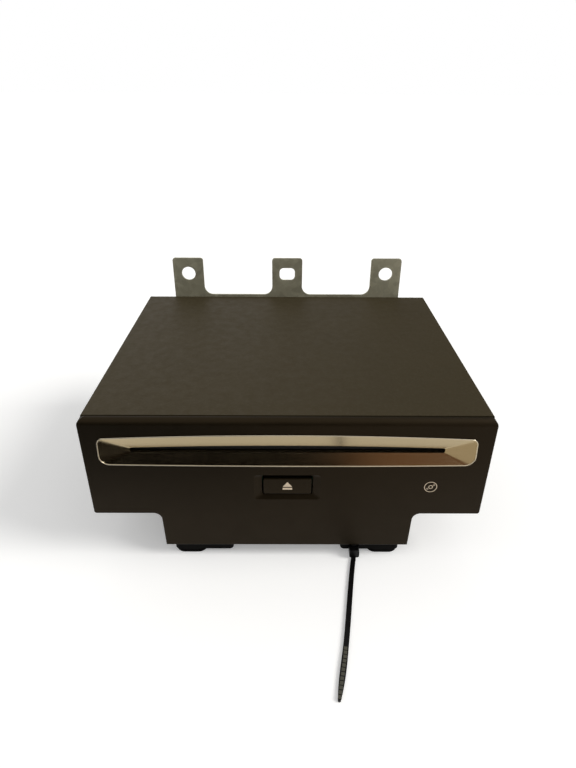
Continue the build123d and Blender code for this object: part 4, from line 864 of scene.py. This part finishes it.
@dataclass
class Feet(Assembly):
    """Four soft rubber pads with a grooved edge and a ringed sole, under their moulded bases.

    Each of the rings, from the sole's middle to the top, is an inset in millimetres and a share of the
    height.
    """

    round: float = 4.5 * MM
    least_round: float = 0.4 * MM
    corner_steps: int = 8
    rings: tuple[tuple[float, float], ...] = (
        (4.6, 0.28), (4.3, 0.0), (3.3, 0.0), (3.1, 0.16), (2.4, 0.16), (2.2, 0.0), (0.55, 0.0), (0.2, 0.05),
        (0.05, 0.14), (0.0, 0.26), (0.0, 0.5), (0.28, 0.55), (0.28, 0.68), (0.0, 0.73), (0.0, 1.0),
    )

    def outline(self, centre: Vector, half: Vector, inset: float, z: float) -> list[Point]:
        """One rounded square loop of a pad, anticlockwise seen from above."""
        radius = max(self.round - inset, self.least_round)
        points = []
        for corner, (sx, sy) in enumerate(((1, 1), (-1, 1), (-1, -1), (1, -1))):
            cx = centre.x + sx * (half.x - inset - radius)
            cy = centre.y + sy * (half.y - inset - radius)
            for k in range(self.corner_steps + 1):
                turn = math.radians(90 * corner + 90 * k / self.corner_steps)
                points.append((cx + radius * math.cos(turn), cy + radius * math.sin(turn), z))
        return points

    def build(self) -> list[Piece]:
        """Pads as stacked loops from the middle of the sole, round the edge, to the middle of the top."""
        points: list[Point] = []
        faces: list[tuple[int, ...]] = []
        for corners in islands("rubber_feet"):
            low, high = span(corners)
            centre, half = (low + high) / 2, (high - low) / 2
            first = len(points)
            loops = [self.outline(centre, half, inset * MM, low.z + share * (high.z - low.z))
                     for inset, share in self.rings]
            count = len(loops[0])
            for loop in loops:
                points.extend(loop)
            for k in range(len(loops) - 1):
                for i in range(count):
                    j = (i + 1) % count
                    a, b = first + k * count, first + (k + 1) * count
                    faces.append((a + i, a + j, b + j, b + i))
            faces.append(tuple(first + i for i in reversed(range(count))))
            top = first + (len(loops) - 1) * count
            faces.append(tuple(top + i for i in range(count)))
        pads = mesh_piece("ringed_rubber_feet", points, faces)
        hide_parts("rubber_feet")
        return [self.add_piece(pads, Paint.foot_rubber)]


@dataclass
class CableTie(Assembly):
    """The nylon tie: its strap is the model's own, and fine locking teeth are laid over its tail."""

    tail_length: float = 23.5 * MM
    tip_margin: float = 1.4 * MM
    pitch: float = 1.9 * MM
    tooth_length: float = 1.5 * MM
    tooth_height: float = 0.44 * MM
    tooth_width: float = 1.5 * MM
    scan_step: float = 0.1 * MM
    scan_rise: float = 10 * MM

    def tree(self) -> GeometryTree:
        """Teeth on the host's corners, turned by its facing and its run along the strap."""
        t = GeometryTree("tie_teeth", {
            "Tooth Width": self.tooth_width, "Tooth Length": self.tooth_length,
            "Tooth Height": self.tooth_height, "Finish": RIBBED_END_NYLON.material(),
        })
        size = t.node("ShaderNodeCombineXYZ", {
            "X": t.inputs["Tooth Width"], "Y": t.inputs["Tooth Length"], "Z": t.inputs["Tooth Height"],
        })
        bar = t.node("GeometryNodeMeshCube", {"Size": size.outputs[0]})
        facing = t.node("GeometryNodeInputNamedAttribute", {"Name": "facing"}, data_type="FLOAT_VECTOR")
        along = t.node("GeometryNodeInputNamedAttribute", {"Name": "along"}, data_type="FLOAT_VECTOR")
        upright = t.node("FunctionNodeAlignRotationToVector", {"Vector": facing.outputs[0]}, axis="Z")
        turned = t.node("FunctionNodeAlignRotationToVector", {
            "Rotation": upright.outputs[0], "Vector": along.outputs[0],
        }, axis="Y", pivot_axis="Z")
        placed = t.node("GeometryNodeInstanceOnPoints", {
            "Points": t.inputs["Geometry"], "Instance": bar.outputs["Mesh"], "Rotation": turned.outputs[0],
        })
        t.end(placed.outputs[0])
        return t

    def build(self) -> list[Piece]:
        """Teeth along the middle of the strap's last part, on its upper face."""
        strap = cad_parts["cable_tie"].data
        faces = [tuple(p.vertices) for p in strap.polygons]
        surface = BVHTree.FromPolygons([v.co for v in strap.vertices], faces)
        low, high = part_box("cable_tie")
        places, normals = [], []
        y = low.y + self.tip_margin
        while y < low.y + self.tail_length:
            hits = []
            for k in range(int((high.x - low.x) / self.scan_step) + 1):
                start = Vector((low.x + k * self.scan_step, y, high.z + self.scan_rise))
                spot, normal, _, _ = surface.ray_cast(start, Vector((0, 0, -1)))
                if spot is not None:
                    hits.append((spot, normal))
            if hits:
                spot, normal = hits[len(hits) // 2]
                places.append(spot)
                normals.append(normal)
            y += self.pitch
        along = [(b - a).normalized() for a, b in zip(places, places[1:])]
        along.append(along[-1])
        host = places_piece("tie_places", places, {"facing": normals, "along": along})
        teeth = self.tree().bake(host, "tie_teeth")
        return [self.add_piece(teeth, Paint.tie_nylon)]


# ---- the studio
@dataclass
class Studio:
    """Pale floor, even light, and the camera where the photograph was taken from."""

    focal_px: float = 560.559
    frame_height_px: float = 768.0
    pitch: float = 0.5106742
    roll: float = -0.0068860
    yaw: float = 0.0071465
    eye: tuple[float, float, float] = (-0.0015, -0.24154, 0.21149)
    surround: float = 0.52
    floor_lift: float = 0.26
    floor_reach: float = 6.0
    sun_strength: float = 2.1
    sun_width: float = 30.0
    sun_direction: tuple[float, float, float] = (-0.75, 0.12, -0.55)
    card_front: float = -0.34

    def build(self) -> None:
        """Make the camera, the floor, the world, the lamp and the dark cards."""
        bpy.context.scene.view_settings.view_transform = "Standard"
        self.camera()
        self.floor()
        self.world()
        self.lamp()
        self.cards()

    def camera(self) -> None:
        """A camera with the photograph's place, tilt and lens."""
        data = bpy.data.cameras.new("camera")
        data.sensor_width = 36.0
        data.lens = self.focal_px * data.sensor_width / self.frame_height_px
        data.clip_start, data.clip_end = 0.01, 50.0
        c, s = math.cos(self.pitch), math.sin(self.pitch)
        cr, sr = math.cos(self.roll), math.sin(self.roll)
        turn = Matrix.Rotation(-self.yaw, 3, "Z")
        right = turn @ Vector((cr, -s * sr, -c * sr))
        up = turn @ Vector((sr, s * cr, c * cr))
        ahead = turn @ Vector((0.0, c, -s))
        axes = Matrix((right, up, -ahead)).transposed().to_4x4()
        eye = bpy.data.objects.new("camera", data)
        eye.matrix_world = Matrix.Translation(self.eye) @ axes
        bpy.context.scene.collection.objects.link(eye)
        bpy.context.scene.camera = eye

    def floor(self) -> None:
        """A wide white floor that takes the shadow; the camera sees it a little lifted, up to white."""
        corners = [(x * self.floor_reach, y * self.floor_reach, FLOOR_Z) for x, y in
                   ((-1, -1), (1, -1), (1, 1), (-1, 1))]
        ground = mesh_piece("floor", corners, [(0, 1, 2, 3)])
        made = bare_material("white_floor")
        tree = made.node_tree
        matt = add(tree, "ShaderNodeBsdfDiffuse", {"Color": linear("#f7f7f6")})
        lift = maths(tree, "MULTIPLY", self.seen(tree), self.floor_lift)
        glow = add(tree, "ShaderNodeEmission", {"Strength": lift})
        both = add(tree, "ShaderNodeAddShader", {0: matt.outputs[0], 1: glow.outputs[0]})
        add(tree, "ShaderNodeOutputMaterial", {"Surface": both.outputs[0]})
        ground.data.materials.append(made)

    @staticmethod
    def seen(tree: Tree) -> Socket:
        """One for rays of the camera, of metal and of glass, and zero for the light itself."""
        ray = add(tree, "ShaderNodeLightPath").outputs
        direct = maths(tree, "MAXIMUM", ray["Is Camera Ray"], ray["Is Glossy Ray"])
        return maths(tree, "MAXIMUM", direct, ray["Is Transmission Ray"])

    def world(self) -> None:
        """White all round for the camera, metal and glass; softer as a light."""
        world = bpy.data.worlds.new("surround")
        bpy.context.scene.world = world
        world.use_nodes = True
        tree = world.node_tree
        tree.nodes.clear()
        strength = ranged(tree, self.seen(tree), self.surround, 1.0, 0.0, 1.0)
        back = add(tree, "ShaderNodeBackground", {"Color": (1, 1, 1, 1), "Strength": strength})
        add(tree, "ShaderNodeOutputWorld", {"Surface": back.outputs[0]})

    def lamp(self) -> None:
        """One wide soft light from the upper right, which lays the shadow to the left."""
        data = bpy.data.lights.new("window", "SUN")
        data.angle = math.radians(self.sun_width)
        data.energy = self.sun_strength
        data.color = linear("#fffdfa")[:3]
        lamp = bpy.data.objects.new("window", data)
        lamp.rotation_mode = "QUATERNION"
        lamp.rotation_quaternion = Vector(self.sun_direction).to_track_quat("-Z", "Y")
        bpy.context.scene.collection.objects.link(lamp)

    def cards(self) -> None:
        """Cards that only shiny parts see: a dark room before the object, a grey wall behind it."""
        front = self.card_front
        self.card("front_card", [(-0.7, front, 0.0), (0.21, front, 0.0), (0.21, front, 0.24),
                                 (-0.7, front, 0.24)], (0.04, "#080604"), (0.10, "#85644e"))
        self.card("table_card", [(-0.6, front, 0.001), (0.25, front, 0.001), (0.25, -0.095, 0.001),
                                 (-0.6, -0.095, 0.001)], (-0.05, "#1c1915"), (0.02, "#d9cfbf"))
        self.card("wall_card", [(-0.8, 0.5, 0.0), (0.8, 0.5, 0.0), (0.8, 0.5, 0.8), (-0.8, 0.5, 0.8)],
                  (-0.15, "#ffffff"), (0.28, "#6f6a60"))

    @staticmethod
    def card(name: str, corners: list, left: tuple[float, str], right: tuple[float, str]) -> None:
        """Add a card that glows softly for glossy rays alone.

        Args:
            name: the card's name.
            corners: its four corners.
            left: the x at which the change of colour starts, and the colour up to there.
            right: the x at which it ends, and the colour from there on.
        """
        made = bare_material(name)
        tree = made.node_tree
        place = add(tree, "ShaderNodeTexCoord").outputs["Object"]
        change = add(tree, "ShaderNodeMapRange", {
            "Value": add(tree, "ShaderNodeSeparateXYZ", {"Vector": place}).outputs["X"],
            "From Min": left[0], "From Max": right[0],
        }, interpolation_type="SMOOTHSTEP")
        shade = mixed(tree, change.outputs["Result"], linear(left[1]), linear(right[1]))
        glow = add(tree, "ShaderNodeEmission", {"Color": shade})
        add(tree, "ShaderNodeOutputMaterial", {"Surface": glow.outputs[0]})
        board = mesh_piece(name, corners, [(0, 1, 2, 3)])
        board.data.materials.append(made)
        board.visible_camera = board.visible_diffuse = False
        board.visible_shadow = board.visible_transmission = False


def main() -> None:
    """Dress the model, add what it lacks, and report each piece."""
    logging.basicConfig(level=logging.INFO, format="%(name)s: %(message)s")
    Studio().build()
    groups = (
        Assembly({Paint.cover_paint: ("top_cover",), Paint.black_steel: ("bottom_chassis", "lower_tray")}),
        Front({
            Paint.bezel_plastic: ("front_bezel",), Paint.trim_metal: ("slot_trim",),
            Paint.felt: ("disc_curtain",),
        }),
        Assembly({
            Paint.key_plastic: ("eject_button",), Paint.sign_print: ("eject_symbol",),
            Paint.black_moulding: ("switch_plunger", "eject_switch"), Paint.board: ("key_board",),
        }),
        Assembly({Paint.zinc_steel: ("rear_bracket",)}),
        Assembly({
            Paint.board: ("main_board",), Paint.chip: ("board_components",),
            Paint.connector_plastic: ("rear_connector", "ribbon_sockets"),
            Paint.pin_brass: ("connector_pins",), Paint.cable_film: ("ribbon_cable",),
        }),
        Feet({Paint.foot_plastic: ("foot_bases",)}),
        CableTie({Paint.tie_nylon: ("cable_tie",)}),
        Assembly({
            Paint.bright_steel: ("mech_frame", "roller_shaft", "pivot_pins"),
            Paint.damper_rubber: ("dampers",), Paint.roller_rubber: ("load_roller",),
            Paint.bush_brass: ("roller_bushes",),
            Paint.gear_plastic: ("roller_gear", "idler_gear", "load_pinion", "sensor_lever_left",
                                 "sensor_lever_right"),
            Paint.motor_can: ("load_motor",), Paint.black_moulding: ("upper_guide",),
        }),
        Assembly({
            Paint.bright_steel: ("traverse_deck", "guide_rods", "lead_screw"),
            Paint.motor_can: ("spindle_motor", "sled_motor"), Paint.black_moulding: ("turntable",),
            Paint.felt: ("turntable_pad",), Paint.gear_plastic: ("rod_blocks",),
            Paint.sled_metal: ("pickup_sled",), Paint.lens_glass: ("pickup_lens",),
        }),
        Assembly({
            Paint.bright_steel: ("rear_bridge", "clamp_pin", "clamp_arm"),
            Paint.gear_plastic: ("clamp_puck",),
        }),
        Assembly({
            Paint.black_moulding: ("disc_trays",), Paint.bright_steel: ("lift_bracket",),
            Paint.gear_plastic: (*(f"lift_screw_{k}" for k in range(1, 5)), "lift_gear", "lift_pinion"),
            Paint.motor_can: ("lift_motor",), Paint.belt_rubber: ("lift_belt",),
        }),
        Fasteners(),
    )
    for group in groups:
        for piece in group.dress() + group.build():
            log.info("%s: %s, %d faces", type(group).__name__, piece.name, len(piece.data.polygons))


if __name__ == "__main__":
    main()
